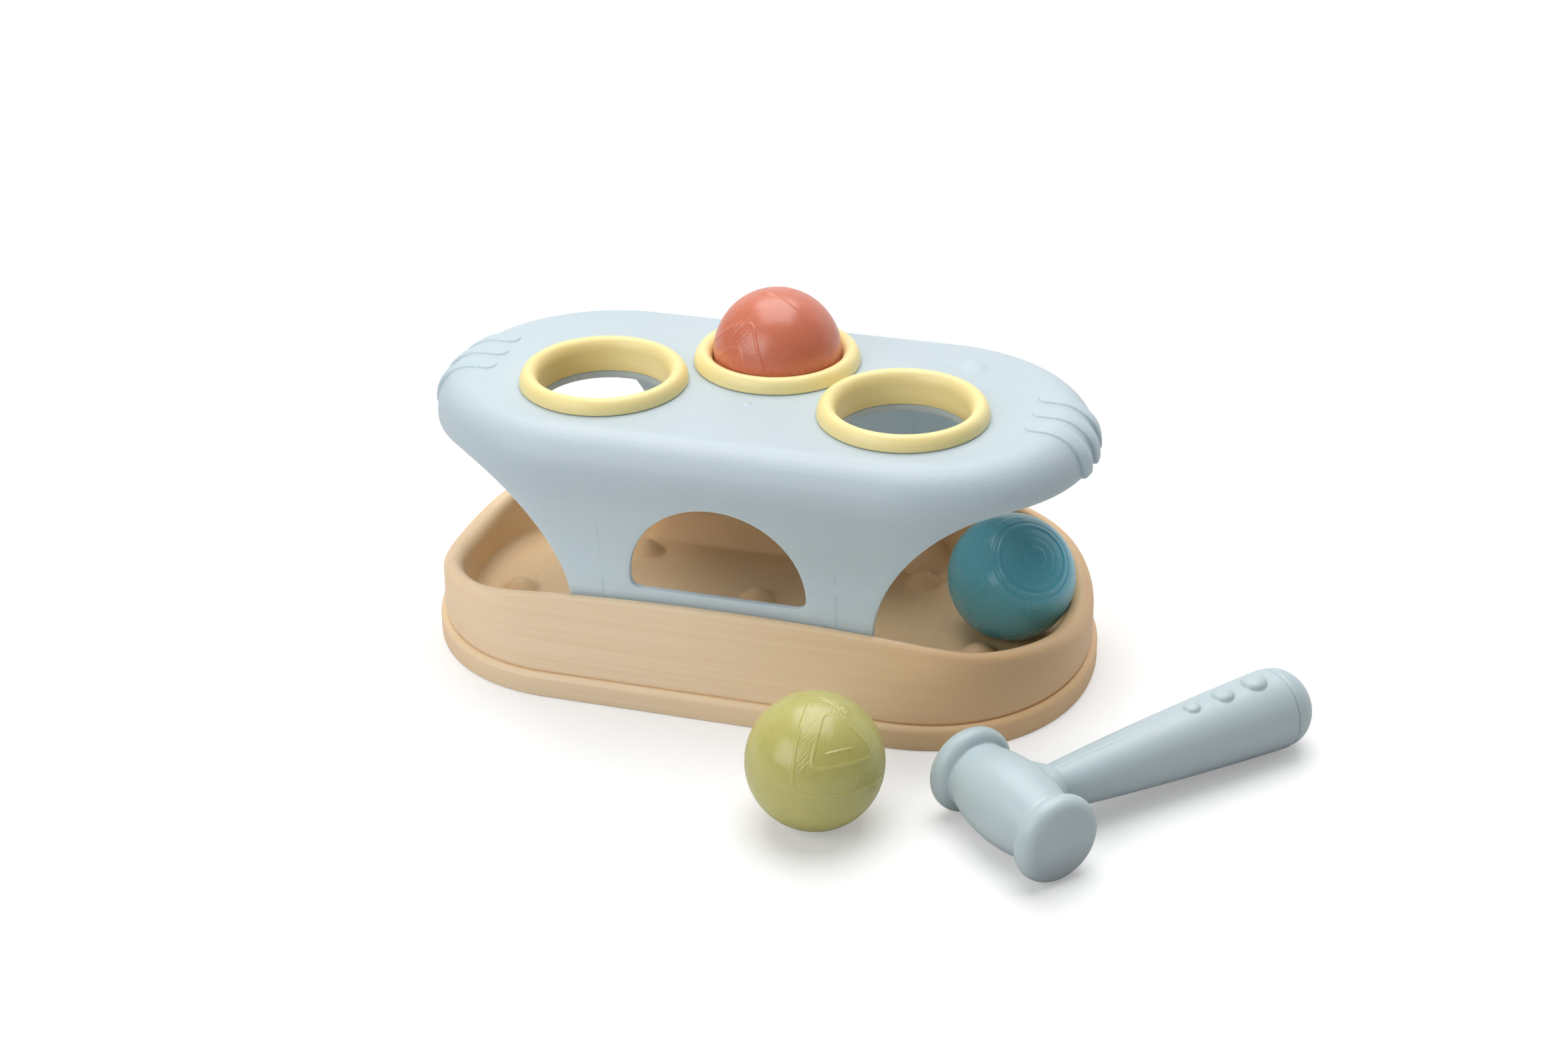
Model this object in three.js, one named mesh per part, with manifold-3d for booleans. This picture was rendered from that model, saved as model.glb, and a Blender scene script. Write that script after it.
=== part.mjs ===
// A pounding bench: a bench shell with three grip rings stands in a ball tray, and three balls and a hammer go with it.
// Millimetres, +Z up. The origin is on the ground under the middle of the tray, X runs along the bench and +Y is its back.
import * as THREE from "three";
import { mergeVertices } from "three/addons/utils/BufferGeometryUtils.js";
import Module from "manifold-3d";

const wasm = await Module();
wasm.setup();

// Fits and clearances
const slipGap = 0.3; // between two pieces that meet
const ballGap = 0.2; // all round a ball inside a grip ring
const restGap = 0.1; // under a ball or a hammer that lies on something
const overrun = 8; // how far a cut runs past what it cuts
const wall = 2.5; // moulded wall of the bench and the tray

// Balls
const ballRadius = 25;
const ballWall = 2;
const redBallRise = 4.2; // centre of the gripped ball over the bench top
const tealBallFromEnd = 34.8; // from the tray's end to the ball's centre
const tealBallY = 5.9;
const greenBallX = 55.4;
const greenBallY = -123.6;

// Tray
const trayHalfLength = 133.7;
const trayHalfWidth = 72.1;
const trayCornerStart = 67.1; // where the straight side ends, along X
const plinthHeight = 10;
const plinthStep = 2;
const plinthRound = 1.4;
const footRound = 0.8;
const floorTop = 11;
const rimCornerStart = 79;
const rimEndRoll = 5.3; // radius of the rolled rim at the ends
const rimSideRoll = 2; // and along the sides
const rimMiddleCrest = 43.3; // height of the rim in the middle of a side
const rimCornerCrest = 40.4; // where the corner starts
const rimEndCrest = 28.3; // at the ends
const floorEndInset = 5.6; // from the inside of the rim to the foot of the inner wall, at the ends
const floorSideInset = 3.9;
const floorRoundWidth = 5.4;
const floorRoundHeight = 4;
const bumpRadius = 7.8;
const bumpHeight = 4;
const seatTop = 23.7; // ledge that the bench skirt stands on
const seatThickness = 3;
const seatHalfLength = 60.6;
const seatInset = 9.2; // from the skirt's outer face to the seat's inner wall

// Bench shell
const benchTop = 110.2;
const benchStraightHalf = 63.5; // half of the straight side, between the round ends
const skirtInset = 14.35; // from the tray's foot to the lowest edge of the skirt, along a side
const benchDraft = 0.125; // outward lean of the walls, per unit of height
const benchEdgeRound = 15.5;
const skirtHalfLength = 60;
const skirtShoulder = 41; // height where the skirt's side starts to curve out
const eaveStart = 105.9; // where the curve reaches the level lower edge of the ends
const eaveHeight = 93.6;
const windowHalfWidth = 34.5;
const windowSill = 47.8;
const windowSpring = 52.5;
const windowApex = 86.9;
const windowCorner = 4.5;
const bossRadius = 3.4;
const bossHeight = 16;
const bossSpread = 46; // from the middle, along X
const fingerRibHalfWidth = 3.4;
const fingerRibProud = 0.8;
const fingerRibPitch = 13;
const fingerRibMiddleY = 1;
const fingerRibStart = 105.5;

// Grip rings
const ringSpread = 59.4; // side rings, from the middle along X
const ringForward = 14; // side rings, in front of the middle
const ringBack = 21.3; // centre ring, behind the middle
const ringFlangeRadius = 32.7;
const ringCrestRadius = 29;
const ringCrestRise = 5.9;
const ringSleeveWall = 2.5;
const ringSleeveDepth = 7.4; // below the bench top
const collarWall = 2.3;
const collarLedge = 3;
const ledgeReach = 2.1; // how far the ledge stands in under the sleeve

// Screws
const screwHeadRadius = 2.8;
const screwHeadHeight = 2.2;
const screwShankRadius = 1.45;
const screwShankLength = 14;
const screwTipLength = 2;
const crossWidth = 0.8;
const crossLength = 3.4;
const crossDepth = 1.2;

// Hammer
const hammerX = 125.5;
const hammerY = -118.6;
const hammerTurn = -42.3; // degrees, of the head's axis from X
const headHalfLength = 30;
const headDiscRadius = 16.6;
const headDiscWidth = 10.6;
const headDiscRound = 5;
const headFaceDome = 0.7;
const headWaistRadius = 12.9;
const headBarrelRadius = 15.8;
const neckLength = 18.2; // from the head's axis to the end of the neck
const neckRootHalfLength = 15.5;
const neckRootHalfHeight = 12.2;
const neckRootOffset = 4;
const neckCorner = 5;
const handleRootRadius = 8.5;
const handleEndRadius = 15.3;
const handleLength = 100.6; // from the neck to the end cap
const handleWall = 2.6;
const spigotRadius = 6;
const spigotLength = 11;
const capLength = 13.5;
const capSpigotLength = 6;
const capGroove = 0.9;
const dotRadii = [3.1, 4.1, 4.75];
const dotPlaceShares = [0.605, 0.748, 0.893]; // along the handle
const dotProud = 1.1;
const handleSwellShare = 0.45; // how much fuller than a cone the handle is

// Shares, chosen by hand
const straightShares = [0.75, 0.5, 0.25, 0]; // stations along the straight side of the tray
const crestShares = [0, 0.06, 0.19, 0.32, 0.44, 0.55, 0.65, 0.745, 0.835, 0.92, 1]; // rise of the rim round a corner
const cornerPowerShare = 0.95; // roundness of the tray's corners, 1 for an ellipse
const skirtBendShares = [
  [0.02, 0.397],
  [0.44, 0.956],
];
const bumpPlaceShares = [
  [-0.828, -0.231],
  [-0.51, 0.552],
  [-0.041, 0.071],
  [0.472, 0.623],
  [0.753, -0.178],
  [0.315, -0.56],
  [-0.348, -0.53],
];

// Steps of round shapes
const roundSteps = 36;
const ballSteps = 24;
const arcSteps = 4;
const smallSteps = 16;

// Materials
const tan = () => new THREE.MeshStandardMaterial({ color: 0xd9bc97, roughness: 0.5, metalness: 0 });
const paleBlue = () => new THREE.MeshStandardMaterial({ color: 0xc3d8e2, roughness: 0.48, metalness: 0 });
const yellow = () => new THREE.MeshStandardMaterial({ color: 0xe9d38d, roughness: 0.25, metalness: 0 });
const hammerBlue = () => new THREE.MeshStandardMaterial({ color: 0xb4ccd4, roughness: 0.5, metalness: 0 });
const steel = () => new THREE.MeshStandardMaterial({ color: 0xb8bcc0, roughness: 0.35, metalness: 1 });
const clear = (color) =>
  new THREE.MeshStandardMaterial({ color, roughness: 0.15, metalness: 0, transparent: true, opacity: 0.85 });

// Solids

function solidOf(geometry) {
  const bare = geometry.index ? geometry.toNonIndexed() : geometry.clone();
  bare.deleteAttribute("normal");
  bare.deleteAttribute("uv");
  const merged = mergeVertices(bare, 1e-4);
  return new wasm.Manifold(
    new wasm.Mesh({
      numProp: 3,
      vertProperties: merged.attributes.position.array,
      triVerts: new Uint32Array(merged.index.array),
    }),
  );
}

function geometryOf(solid) {
  const mesh = solid.getMesh();
  const geometry = new THREE.BufferGeometry();
  geometry.setAttribute("position", new THREE.BufferAttribute(mesh.vertProperties, mesh.numProp));
  geometry.setIndex(new THREE.BufferAttribute(mesh.triVerts, 1));
  const flat = geometry.toNonIndexed();
  flat.computeVertexNormals();
  return flat;
}

function piece(name, solid, material) {
  const mesh = new THREE.Mesh(geometryOf(solid), material);
  mesh.name = name;
  return mesh;
}

// A closed solid through rings of points; the first and the last ring close on a point.
function loft(firstPole, rings, lastPole) {
  const points = [firstPole, ...rings.flat(), lastPole];
  const count = rings[0].length;
  const faces = [];
  const at = (ring, i) => 1 + ring * count + (i % count);
  for (let i = 0; i < count; i++) {
    faces.push(0, at(0, i), at(0, i + 1));
    for (let ring = 0; ring + 1 < rings.length; ring++) {
      faces.push(at(ring, i), at(ring + 1, i), at(ring + 1, i + 1));
      faces.push(at(ring, i), at(ring + 1, i + 1), at(ring, i + 1));
    }
    faces.push(points.length - 1, at(rings.length - 1, i + 1), at(rings.length - 1, i));
  }
  const geometry = new THREE.BufferGeometry().setFromPoints(points);
  geometry.setIndex(faces);
  return solidOf(geometry);
}

// A solid of revolution about Z from [radius, height] pairs.
function turned(profile, steps = roundSteps) {
  const points = profile.map(([radius, height]) => new THREE.Vector2(radius, height));
  const geometry = new THREE.LatheGeometry(points, steps);
  geometry.rotateX(Math.PI / 2);
  const solid = solidOf(geometry);
  if (solid.volume() > 0) return solid;
  return turned([...profile].reverse(), steps);
}

function cylinder(radius, low, high, steps = roundSteps) {
  const geometry = new THREE.CylinderGeometry(radius, radius, high - low, steps);
  geometry.rotateX(Math.PI / 2);
  geometry.translate(0, 0, (high + low) / 2);
  return solidOf(geometry);
}

function box(x0, x1, y0, y1, z0, z1) {
  const geometry = new THREE.BoxGeometry(x1 - x0, y1 - y0, z1 - z0);
  geometry.translate((x0 + x1) / 2, (y0 + y1) / 2, (z0 + z1) / 2);
  return solidOf(geometry);
}

// A shape drawn in X and Z, pushed through from frontY to backY.
function through(shape, frontY, backY, curveSegments = arcSteps) {
  const geometry = new THREE.ExtrudeGeometry(shape, { depth: backY - frontY, bevelEnabled: false, curveSegments });
  geometry.rotateX(Math.PI / 2);
  geometry.translate(0, backY, 0);
  return solidOf(geometry);
}

// Tray

const trayWallHalfLength = trayHalfLength - plinthStep;
const benchFootHalfWidth = trayHalfWidth - skirtInset;
const tealBallX = trayHalfLength - tealBallFromEnd;
const trayWallHalfWidth = trayHalfWidth - plinthStep;
const benchHalfWidthAt = (height) => benchFootHalfWidth + (height - seatTop - slipGap) * benchDraft;
const rimHalfLength = trayWallHalfLength - rimEndRoll;
const rimHalfWidth = benchHalfWidthAt(rimMiddleCrest) + slipGap / 2 + rimSideRoll;
const floorHalfLength = rimHalfLength - rimEndRoll;
const floorHalfWidth = rimHalfWidth - rimSideRoll - floorSideInset;

// The stations of one quarter: round the corner from the end, then along the straight side to the middle.
const cornerStations = crestShares.map((share, i) => ({ angle: ((i / (crestShares.length - 1)) * Math.PI) / 2, share }));
const sideStations = straightShares.map((along) => ({ along }));
const quarter = [...cornerStations, ...sideStations];
const stations = [
  ...quarter.map((s) => ({ ...s, sx: 1, sy: 1 })),
  ...quarter.slice(0, -1).reverse().map((s) => ({ ...s, sx: -1, sy: 1 })),
  ...quarter.slice(1).map((s) => ({ ...s, sx: -1, sy: -1 })),
  ...quarter.slice(1, -1).reverse().map((s) => ({ ...s, sx: 1, sy: -1 })),
];

function outlinePoint(station, halfLength, halfWidth, cornerStart) {
  if (station.along !== undefined) return [station.sx * station.along * cornerStart, station.sy * halfWidth];
  const x = cornerStart + (halfLength - cornerStart) * Math.cos(station.angle) ** cornerPowerShare;
  const y = halfWidth * Math.sin(station.angle) ** cornerPowerShare;
  return [station.sx * x, station.sy * y];
}

function rimNormal(station) {
  if (station.along !== undefined) return [0, station.sy];
  const nx = Math.cos(station.angle) / (rimHalfLength - rimCornerStart);
  const ny = Math.sin(station.angle) / rimHalfWidth;
  const size = Math.hypot(nx, ny);
  return [(station.sx * nx) / size, (station.sy * ny) / size];
}

// Height of the crest and radius of the roll at a station.
function rimAt(station) {
  if (station.along !== undefined) {
    const rise = (rimMiddleCrest - rimCornerCrest) * (1 - station.along ** 2);
    return { crest: rimCornerCrest + rise, roll: rimSideRoll, side: 1 };
  }
  const crest = rimEndCrest + (rimCornerCrest - rimEndCrest) * station.share;
  const roll = rimEndRoll + (rimSideRoll - rimEndRoll) * station.share;
  return { crest, roll, side: station.share };
}

const levelRing = (halfLength, halfWidth, cornerStart, height) =>
  stations.map((station) => new THREE.Vector3(...outlinePoint(station, halfLength, halfWidth, cornerStart), height));

// A ring at a distance from the rim's centre line, given for each station as [outward, up from the roll's centre].
function rimRing(place) {
  return stations.map((station) => {
    const rim = rimAt(station);
    const [x, y] = outlinePoint(station, rimHalfLength, rimHalfWidth, rimCornerStart);
    const [nx, ny] = rimNormal(station);
    const [out, up] = place(rim);
    return new THREE.Vector3(x + nx * out, y + ny * out, rim.crest - rim.roll + up);
  });
}

function rollRings() {
  const rings = [];
  for (let i = 0; i <= arcSteps; i++) {
    const angle = (i / arcSteps) * Math.PI;
    rings.push(rimRing((rim) => [-rim.roll * Math.cos(angle), rim.roll * Math.sin(angle)]));
  }
  return rings;
}

function trayBody() {
  const inside = floorTop - wall;
  const hollowHalf = (rim) => Math.max(rim.roll - wall, slipGap);
  const hollowDrop = (rim) => wall + rim.side * (rimEndRoll - rimSideRoll);
  const rings = [
    levelRing(floorHalfLength - floorRoundWidth, floorHalfWidth - floorRoundWidth, trayCornerStart, floorTop),
    levelRing(
      floorHalfLength - floorRoundWidth / 4,
      floorHalfWidth - floorRoundWidth / 4,
      trayCornerStart,
      floorTop + floorRoundHeight / 4,
    ),
    levelRing(floorHalfLength, floorHalfWidth, trayCornerStart, floorTop + floorRoundHeight),
    ...rollRings(),
    levelRing(trayWallHalfLength, trayWallHalfWidth, trayCornerStart, plinthHeight),
    levelRing(trayHalfLength - footRound, trayHalfWidth - footRound, trayCornerStart, plinthHeight - footRound / 2),
    levelRing(trayHalfLength, trayHalfWidth, trayCornerStart, plinthHeight - plinthRound),
    levelRing(trayHalfLength, trayHalfWidth, trayCornerStart, footRound),
    levelRing(trayHalfLength - footRound, trayHalfWidth - footRound, trayCornerStart, 0),
    levelRing(trayHalfLength - wall, trayHalfWidth - wall, trayCornerStart, 0),
    levelRing(trayHalfLength - wall, trayHalfWidth - wall, trayCornerStart, plinthHeight - wall),
    levelRing(trayWallHalfLength - wall, trayWallHalfWidth - wall, trayCornerStart, plinthHeight),
    rimRing((rim) => [hollowHalf(rim), -hollowDrop(rim)]),
    rimRing((rim) => [-hollowHalf(rim), -hollowDrop(rim)]),
    levelRing(floorHalfLength + wall, floorHalfWidth + wall, trayCornerStart, floorTop + floorRoundHeight),
    levelRing(floorHalfLength, floorHalfWidth, trayCornerStart, inside),
  ];
  return loft(new THREE.Vector3(0, 0, floorTop), rings, new THREE.Vector3(0, 0, inside));
}

// One ledge that a skirt stands on, hollow from below, on the side given by 1 or -1.
function seatBlock(side) {
  const faceY = benchFootHalfWidth - seatInset;
  const outerY = trayWallHalfWidth - wall - seatTop * benchDraft;
  const span = (from, to) => [Math.min(side * from, side * to), Math.max(side * from, side * to)];
  const block = box(-seatHalfLength, seatHalfLength, ...span(faceY, outerY), floorTop - wall, seatTop);
  const under = seatTop - seatThickness;
  const hollow = box(
    -seatHalfLength + wall,
    seatHalfLength - wall,
    ...span(faceY + wall, outerY - slipGap),
    -overrun,
    under,
  );
  return { block, hollow };
}

function bump([shareX, shareY]) {
  const profile = [[0, floorTop - wall / 2]];
  for (let i = 0; i <= arcSteps; i++) {
    const share = 1 - i / arcSteps;
    const rise = i === 0 ? -wall / 2 : bumpHeight * (1 - share ** 2);
    profile.push([bumpRadius * share, floorTop + rise]);
  }
  profile.splice(2, 0, [bumpRadius, floorTop]);
  return turned(profile, smallSteps).translate([shareX * floorHalfLength, shareY * floorHalfWidth, 0]);
}

const screwPlaces = [
  { name: "screw_front_left", x: -bossSpread, side: -1 },
  { name: "screw_front_right", x: bossSpread, side: -1 },
  { name: "screw_back_left", x: -bossSpread, side: 1 },
  { name: "screw_back_right", x: bossSpread, side: 1 },
];
const bossY = benchFootHalfWidth - bossRadius;

function tray() {
  let solid = trayBody();
  for (const side of [-1, 1]) {
    const { block, hollow } = seatBlock(side);
    solid = solid.add(block).subtract(hollow);
  }
  for (const place of bumpPlaceShares) solid = solid.add(bump(place));
  for (const { x, side } of screwPlaces) {
    const hole = cylinder(screwShankRadius + slipGap, floorTop, seatTop + overrun, smallSteps);
    solid = solid.subtract(hole.translate([x, side * bossY, 0]));
  }
  return piece("tray", solid, tan());
}

// Bench shell

// The stadium at a height, its wall moved in by inset.
function benchRing(halfWidth, height) {
  const ring = [];
  for (const side of [1, -1]) {
    for (let i = 0; i <= roundSteps / 2; i++) {
      const angle = (i / (roundSteps / 2) - 1 / 2) * Math.PI;
      const x = side * (benchStraightHalf + halfWidth * Math.cos(angle));
      ring.push(new THREE.Vector3(x, side * halfWidth * Math.sin(angle), height));
    }
  }
  return ring;
}

// The body of the bench between its walls, grown or shrunk all round by a margin.
function benchBody(margin, low) {
  const radius = benchEdgeRound + margin;
  const centreHeight = benchTop - benchEdgeRound;
  const lean = Math.atan(benchDraft);
  const centreHalf = benchHalfWidthAt(centreHeight) - benchEdgeRound / Math.cos(lean);
  const rings = [];
  for (let i = 0; i <= arcSteps; i++) {
    const angle = (i / arcSteps) * (Math.PI / 2 + lean);
    rings.push(benchRing(centreHalf + radius * Math.sin(angle), centreHeight + radius * Math.cos(angle)));
  }
  const lowHalf = benchHalfWidthAt(low) + margin / Math.cos(lean);
  rings.push(benchRing(lowHalf, low));
  return loft(new THREE.Vector3(0, 0, benchTop + margin), rings, new THREE.Vector3(0, 0, low));
}

// What is cut away beside a skirt and under an end, on the side given by 1 or -1.
function skirtCut(side) {
  const bend = ([shareX, shareZ]) => [
    side * (skirtHalfLength + shareX * (eaveStart - skirtHalfLength)),
    skirtShoulder + shareZ * (eaveHeight - skirtShoulder),
  ];
  const far = side * (benchStraightHalf + trayHalfWidth + overrun);
  const low = seatTop - overrun;
  const shape = new THREE.Shape();
  shape.moveTo(side * skirtHalfLength, low);
  shape.lineTo(side * skirtHalfLength, skirtShoulder);
  shape.bezierCurveTo(
    ...bend(skirtBendShares[0]),
    ...bend(skirtBendShares[1]),
    side * eaveStart,
    eaveHeight,
  );
  shape.lineTo(far, eaveHeight);
  shape.lineTo(far, low);
  shape.closePath();
  return through(shape, -trayHalfWidth - overrun, trayHalfWidth + overrun, smallSteps / 2);
}

function windowCut() {
  const shape = new THREE.Shape();
  shape.moveTo(-windowHalfWidth + windowCorner, windowSill);
  shape.lineTo(windowHalfWidth - windowCorner, windowSill);
  shape.quadraticCurveTo(windowHalfWidth, windowSill, windowHalfWidth, windowSpring);
  shape.absellipse(0, windowSpring, windowHalfWidth, windowApex - windowSpring, 0, Math.PI, false);
  shape.quadraticCurveTo(-windowHalfWidth, windowSill, -windowHalfWidth + windowCorner, windowSill);
  return through(shape, -trayHalfWidth - overrun, -benchFootHalfWidth / 2, smallSteps);
}

const ringPlaces = [
  { name: "ring_left", x: -ringSpread, y: -ringForward },
  { name: "ring_centre", x: 0, y: ringBack },
  { name: "ring_right", x: ringSpread, y: -ringForward },
];
const throat = ballRadius + ballGap;
const sleeveOuter = throat + ringSleeveWall;
const sleeveBottom = benchTop - ringSleeveDepth;

function collarParts({ x, y }) {
  const outer = sleeveOuter + slipGap + collarWall;
  const ledgeTop = sleeveBottom - slipGap;
  const collar = cylinder(outer, ledgeTop - collarLedge, benchTop - wall / 2);
  const bore = cylinder(sleeveOuter + slipGap, ledgeTop, benchTop + overrun);
  const ledgeBore = cylinder(sleeveOuter + slipGap - ledgeReach - slipGap, ledgeTop - collarLedge - overrun, benchTop);
  return {
    collar: collar.translate([x, y, 0]),
    hole: bore.add(ledgeBore).translate([x, y, 0]),
  };
}

// A finger rib: a bar with a round head, as high as the whole bench, that the grown body cuts to shape.
function fingerBar(side, y) {
  const far = benchStraightHalf + trayHalfWidth;
  const head = cylinder(fingerRibHalfWidth, eaveHeight, benchTop + overrun, smallSteps);
  const bar = box(0, far - fingerRibStart, -fingerRibHalfWidth, fingerRibHalfWidth, eaveHeight, benchTop + overrun);
  const whole = head.add(bar);
  const turnedBar = side > 0 ? whole : whole.rotate([0, 0, 180]);
  return turnedBar.translate([side * (fingerRibStart + fingerRibHalfWidth), y, 0]);
}

function benchShell() {
  let solid = benchBody(0, seatTop + slipGap);
  const grown = benchBody(fingerRibProud, seatTop);
  for (const side of [-1, 1]) {
    for (const place of [-1, 0, 1]) {
      const y = fingerRibMiddleY + place * fingerRibPitch;
      solid = solid.add(grown.intersect(fingerBar(side, y)));
    }
  }
  solid = solid.subtract(benchBody(-wall, seatTop - overrun));
  const collars = ringPlaces.map(collarParts);
  for (const { collar } of collars) solid = solid.add(collar);
  for (const { hole } of collars) solid = solid.subtract(hole);
  for (const { x, side } of screwPlaces) {
    const low = seatTop + slipGap;
    const boss = cylinder(bossRadius, low, low + bossHeight, smallSteps);
    solid = solid.add(boss.translate([x, side * bossY, 0]));
  }
  for (const { x, side } of screwPlaces) {
    const low = seatTop + slipGap;
    const pilot = cylinder(screwShankRadius + slipGap, low - overrun, low + bossHeight - wall, smallSteps);
    solid = solid.subtract(pilot.translate([x, side * bossY, 0]));
  }
  solid = solid.subtract(skirtCut(1)).subtract(skirtCut(-1)).subtract(windowCut());
  return piece("bench_shell", solid, paleBlue());
}

// Grip rings

function gripRing({ name, x, y }) {
  const base = benchTop + slipGap;
  const crest = benchTop + ringCrestRise;
  const height = crest - base;
  const inner = ringCrestRadius - throat;
  const outer = ringFlangeRadius - ringCrestRadius;
  const profile = [
    [throat, sleeveBottom],
    [throat, base],
  ];
  for (let i = 0; i <= arcSteps; i++) {
    const angle = (i / arcSteps) * (Math.PI / 2);
    profile.push([ringCrestRadius - inner * Math.cos(angle), base + height * Math.sin(angle)]);
  }
  for (let i = 1; i <= arcSteps; i++) {
    const angle = (i / arcSteps) * (Math.PI / 2);
    profile.push([ringCrestRadius + outer * Math.sin(angle), base + height * Math.cos(angle)]);
  }
  profile.push([sleeveOuter, base], [sleeveOuter, sleeveBottom], [throat, sleeveBottom]);
  profile.splice(1, 1);
  return piece(name, turned(profile).translate([x, y, 0]), yellow());
}

// Balls

// Half of a hollow ball on the +Z side of its weld.
function ballHalf() {
  const seam = slipGap / 2;
  const inside = ballRadius - ballWall;
  const profile = [];
  const steps = ballSteps / 4;
  const outerStart = Math.asin(seam / ballRadius);
  const innerStart = Math.asin(seam / inside);
  for (let i = 0; i <= steps; i++) {
    const angle = outerStart + (i / steps) * (Math.PI / 2 - outerStart);
    profile.push([i === steps ? 0 : ballRadius * Math.cos(angle), ballRadius * Math.sin(angle)]);
  }
  for (let i = steps; i >= 0; i--) {
    const angle = innerStart + (i / steps) * (Math.PI / 2 - innerStart);
    profile.push([i === steps ? 0 : inside * Math.cos(angle), inside * Math.sin(angle)]);
  }
  profile.push(profile[0]);
  return turned(profile, ballSteps);
}

function ball(name, halves, color, position, facing) {
  const group = new THREE.Group();
  halves.forEach((half, i) => {
    const mesh = piece(name + "_" + half + "_half", ballHalf(), clear(color));
    if (i === 1) mesh.rotation.x = Math.PI;
    group.add(mesh);
  });
  group.quaternion.setFromUnitVectors(new THREE.Vector3(0, 0, 1), facing.clone().normalize());
  group.position.set(...position);
  return group;
}

// Screws

function screw({ name, x, side }) {
  const under = seatTop - seatThickness - slipGap / 2;
  const top = under + screwShankLength;
  const profile = [
    [0, under - screwHeadHeight],
    [screwHeadRadius * 0.7, under - screwHeadHeight],
    [screwHeadRadius, under - screwHeadHeight / 2],
    [screwHeadRadius, under],
    [screwShankRadius, under],
    [screwShankRadius, top - screwTipLength],
    [0, top],
  ];
  let solid = turned(profile, smallSteps);
  const low = under - screwHeadHeight;
  for (const [halfX, halfY] of [
    [crossWidth / 2, crossLength / 2],
    [crossLength / 2, crossWidth / 2],
  ]) {
    solid = solid.subtract(box(-halfX, halfX, -halfY, halfY, low - overrun, low + crossDepth));
  }
  return piece(name, solid.translate([x, side * bossY, 0]), steel());
}

// Hammer: X along the head's axis, Y along the handle, Z up, with the origin in the middle of the head.

function headBarrel() {
  const profile = [];
  const face = headHalfLength;
  const discInner = headHalfLength - headDiscWidth;
  const edge = headDiscRadius - headDiscRound;
  profile.push([0, face + headFaceDome]);
  profile.push([edge / 2, face + (headFaceDome * 3) / 4]);
  for (let i = 0; i <= arcSteps; i++) {
    const angle = (i / arcSteps) * (Math.PI / 2);
    profile.push([edge + headDiscRound * Math.sin(angle), face - headDiscRound * (1 - Math.cos(angle))]);
  }
  for (let i = 0; i <= arcSteps / 2; i++) {
    const angle = (i / (arcSteps / 2)) * (Math.PI / 2);
    const round = headDiscRadius - headWaistRadius;
    profile.push([
      headWaistRadius + round * Math.cos(angle),
      discInner + (headDiscWidth - headDiscRound) * (1 - Math.sin(angle)) * (1 / 2),
    ]);
  }
  for (let i = 1; i < arcSteps; i++) {
    const along = 1 - i / arcSteps;
    const swell = (headBarrelRadius - headWaistRadius) * (1 - along ** 2);
    profile.push([headWaistRadius + swell, (discInner - slipGap) * along]);
  }
  profile.push([headBarrelRadius, 0]);
  const mirrored = profile.slice(0, -1).map(([radius, along]) => [radius, -along]);
  return turned([...profile, ...mirrored.reverse()]).rotate([0, 90, 0]);
}

// A ring of the neck at a distance along the handle: a rounded rectangle that becomes a circle.
function neckRing(halfLength, halfHeight, corner, along) {
  const points = [];
  for (let i = 0; i < roundSteps / 2; i++) {
    const angle = (i / (roundSteps / 2)) * Math.PI * 2;
    const c = Math.cos(angle);
    const s = Math.sin(angle);
    const x = Math.sign(c) * (halfLength - corner) + corner * c;
    const z = Math.sign(s) * (halfHeight - corner) + corner * s;
    const flat = Math.abs(c) < 1e-9 ? 0 : x;
    points.push(new THREE.Vector3(flat, along, Math.abs(s) < 1e-9 ? 0 : z));
  }
  return points;
}

function hammerHead() {
  const root = neckRing(neckRootHalfLength, neckRootHalfHeight, neckCorner, neckRootOffset);
  const tip = neckRing(handleRootRadius, handleRootRadius, handleRootRadius, neckLength);
  const neck = loft(new THREE.Vector3(0, neckRootOffset, 0), [root, tip], new THREE.Vector3(0, neckLength, 0));
  const socket = cylinder(spigotRadius + slipGap, neckLength - spigotLength - slipGap, neckLength + overrun, smallSteps);
  const solid = headBarrel().add(neck).subtract(socket.rotate([-90, 0, 0]));
  return piece("hammer_head", solid, hammerBlue());
}

const handleStart = neckLength + slipGap;
const handleStop = handleStart + handleLength;
const handleRadiusAt = (share) =>
  handleRootRadius + (handleEndRadius - handleRootRadius) * share * (1 + handleSwellShare * (1 - share));

function hammerHandle() {
  const handleStations = Array.from({ length: arcSteps }, (_, i) => (i + 1) / arcSteps);
  const boreStart = handleStart + handleRootRadius * 2;
  const boreShare = (boreStart - handleStart) / handleLength;
  const profile = [
    [0, handleStart - spigotLength],
    [spigotRadius, handleStart - spigotLength],
    [spigotRadius, handleStart],
    [handleRootRadius, handleStart],
    ...handleStations.map((share) => [handleRadiusAt(share), handleStart + share * handleLength]),
    [handleEndRadius - handleWall, handleStop],
    [handleRadiusAt(boreShare) - handleWall, boreStart],
    [0, boreStart - handleWall],
  ];
  let solid = turned(profile, smallSteps).rotate([-90, 0, 0]);
  dotPlaceShares.forEach((share, i) => {
    const top = handleRadiusAt(share) + dotProud;
    const radius = dotRadii[i];
    const dot = turned(
      [
        [0, top - dotProud - handleWall / 2],
        [radius, top - dotProud - handleWall / 2],
        [radius, top - dotProud / 2],
        [radius / 2, top],
        [0, top],
      ],
      smallSteps / 2,
    );
    solid = solid.add(dot.translate([0, handleStart + share * handleLength, 0]));
  });
  return piece("hammer_handle", solid, hammerBlue());
}

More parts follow.
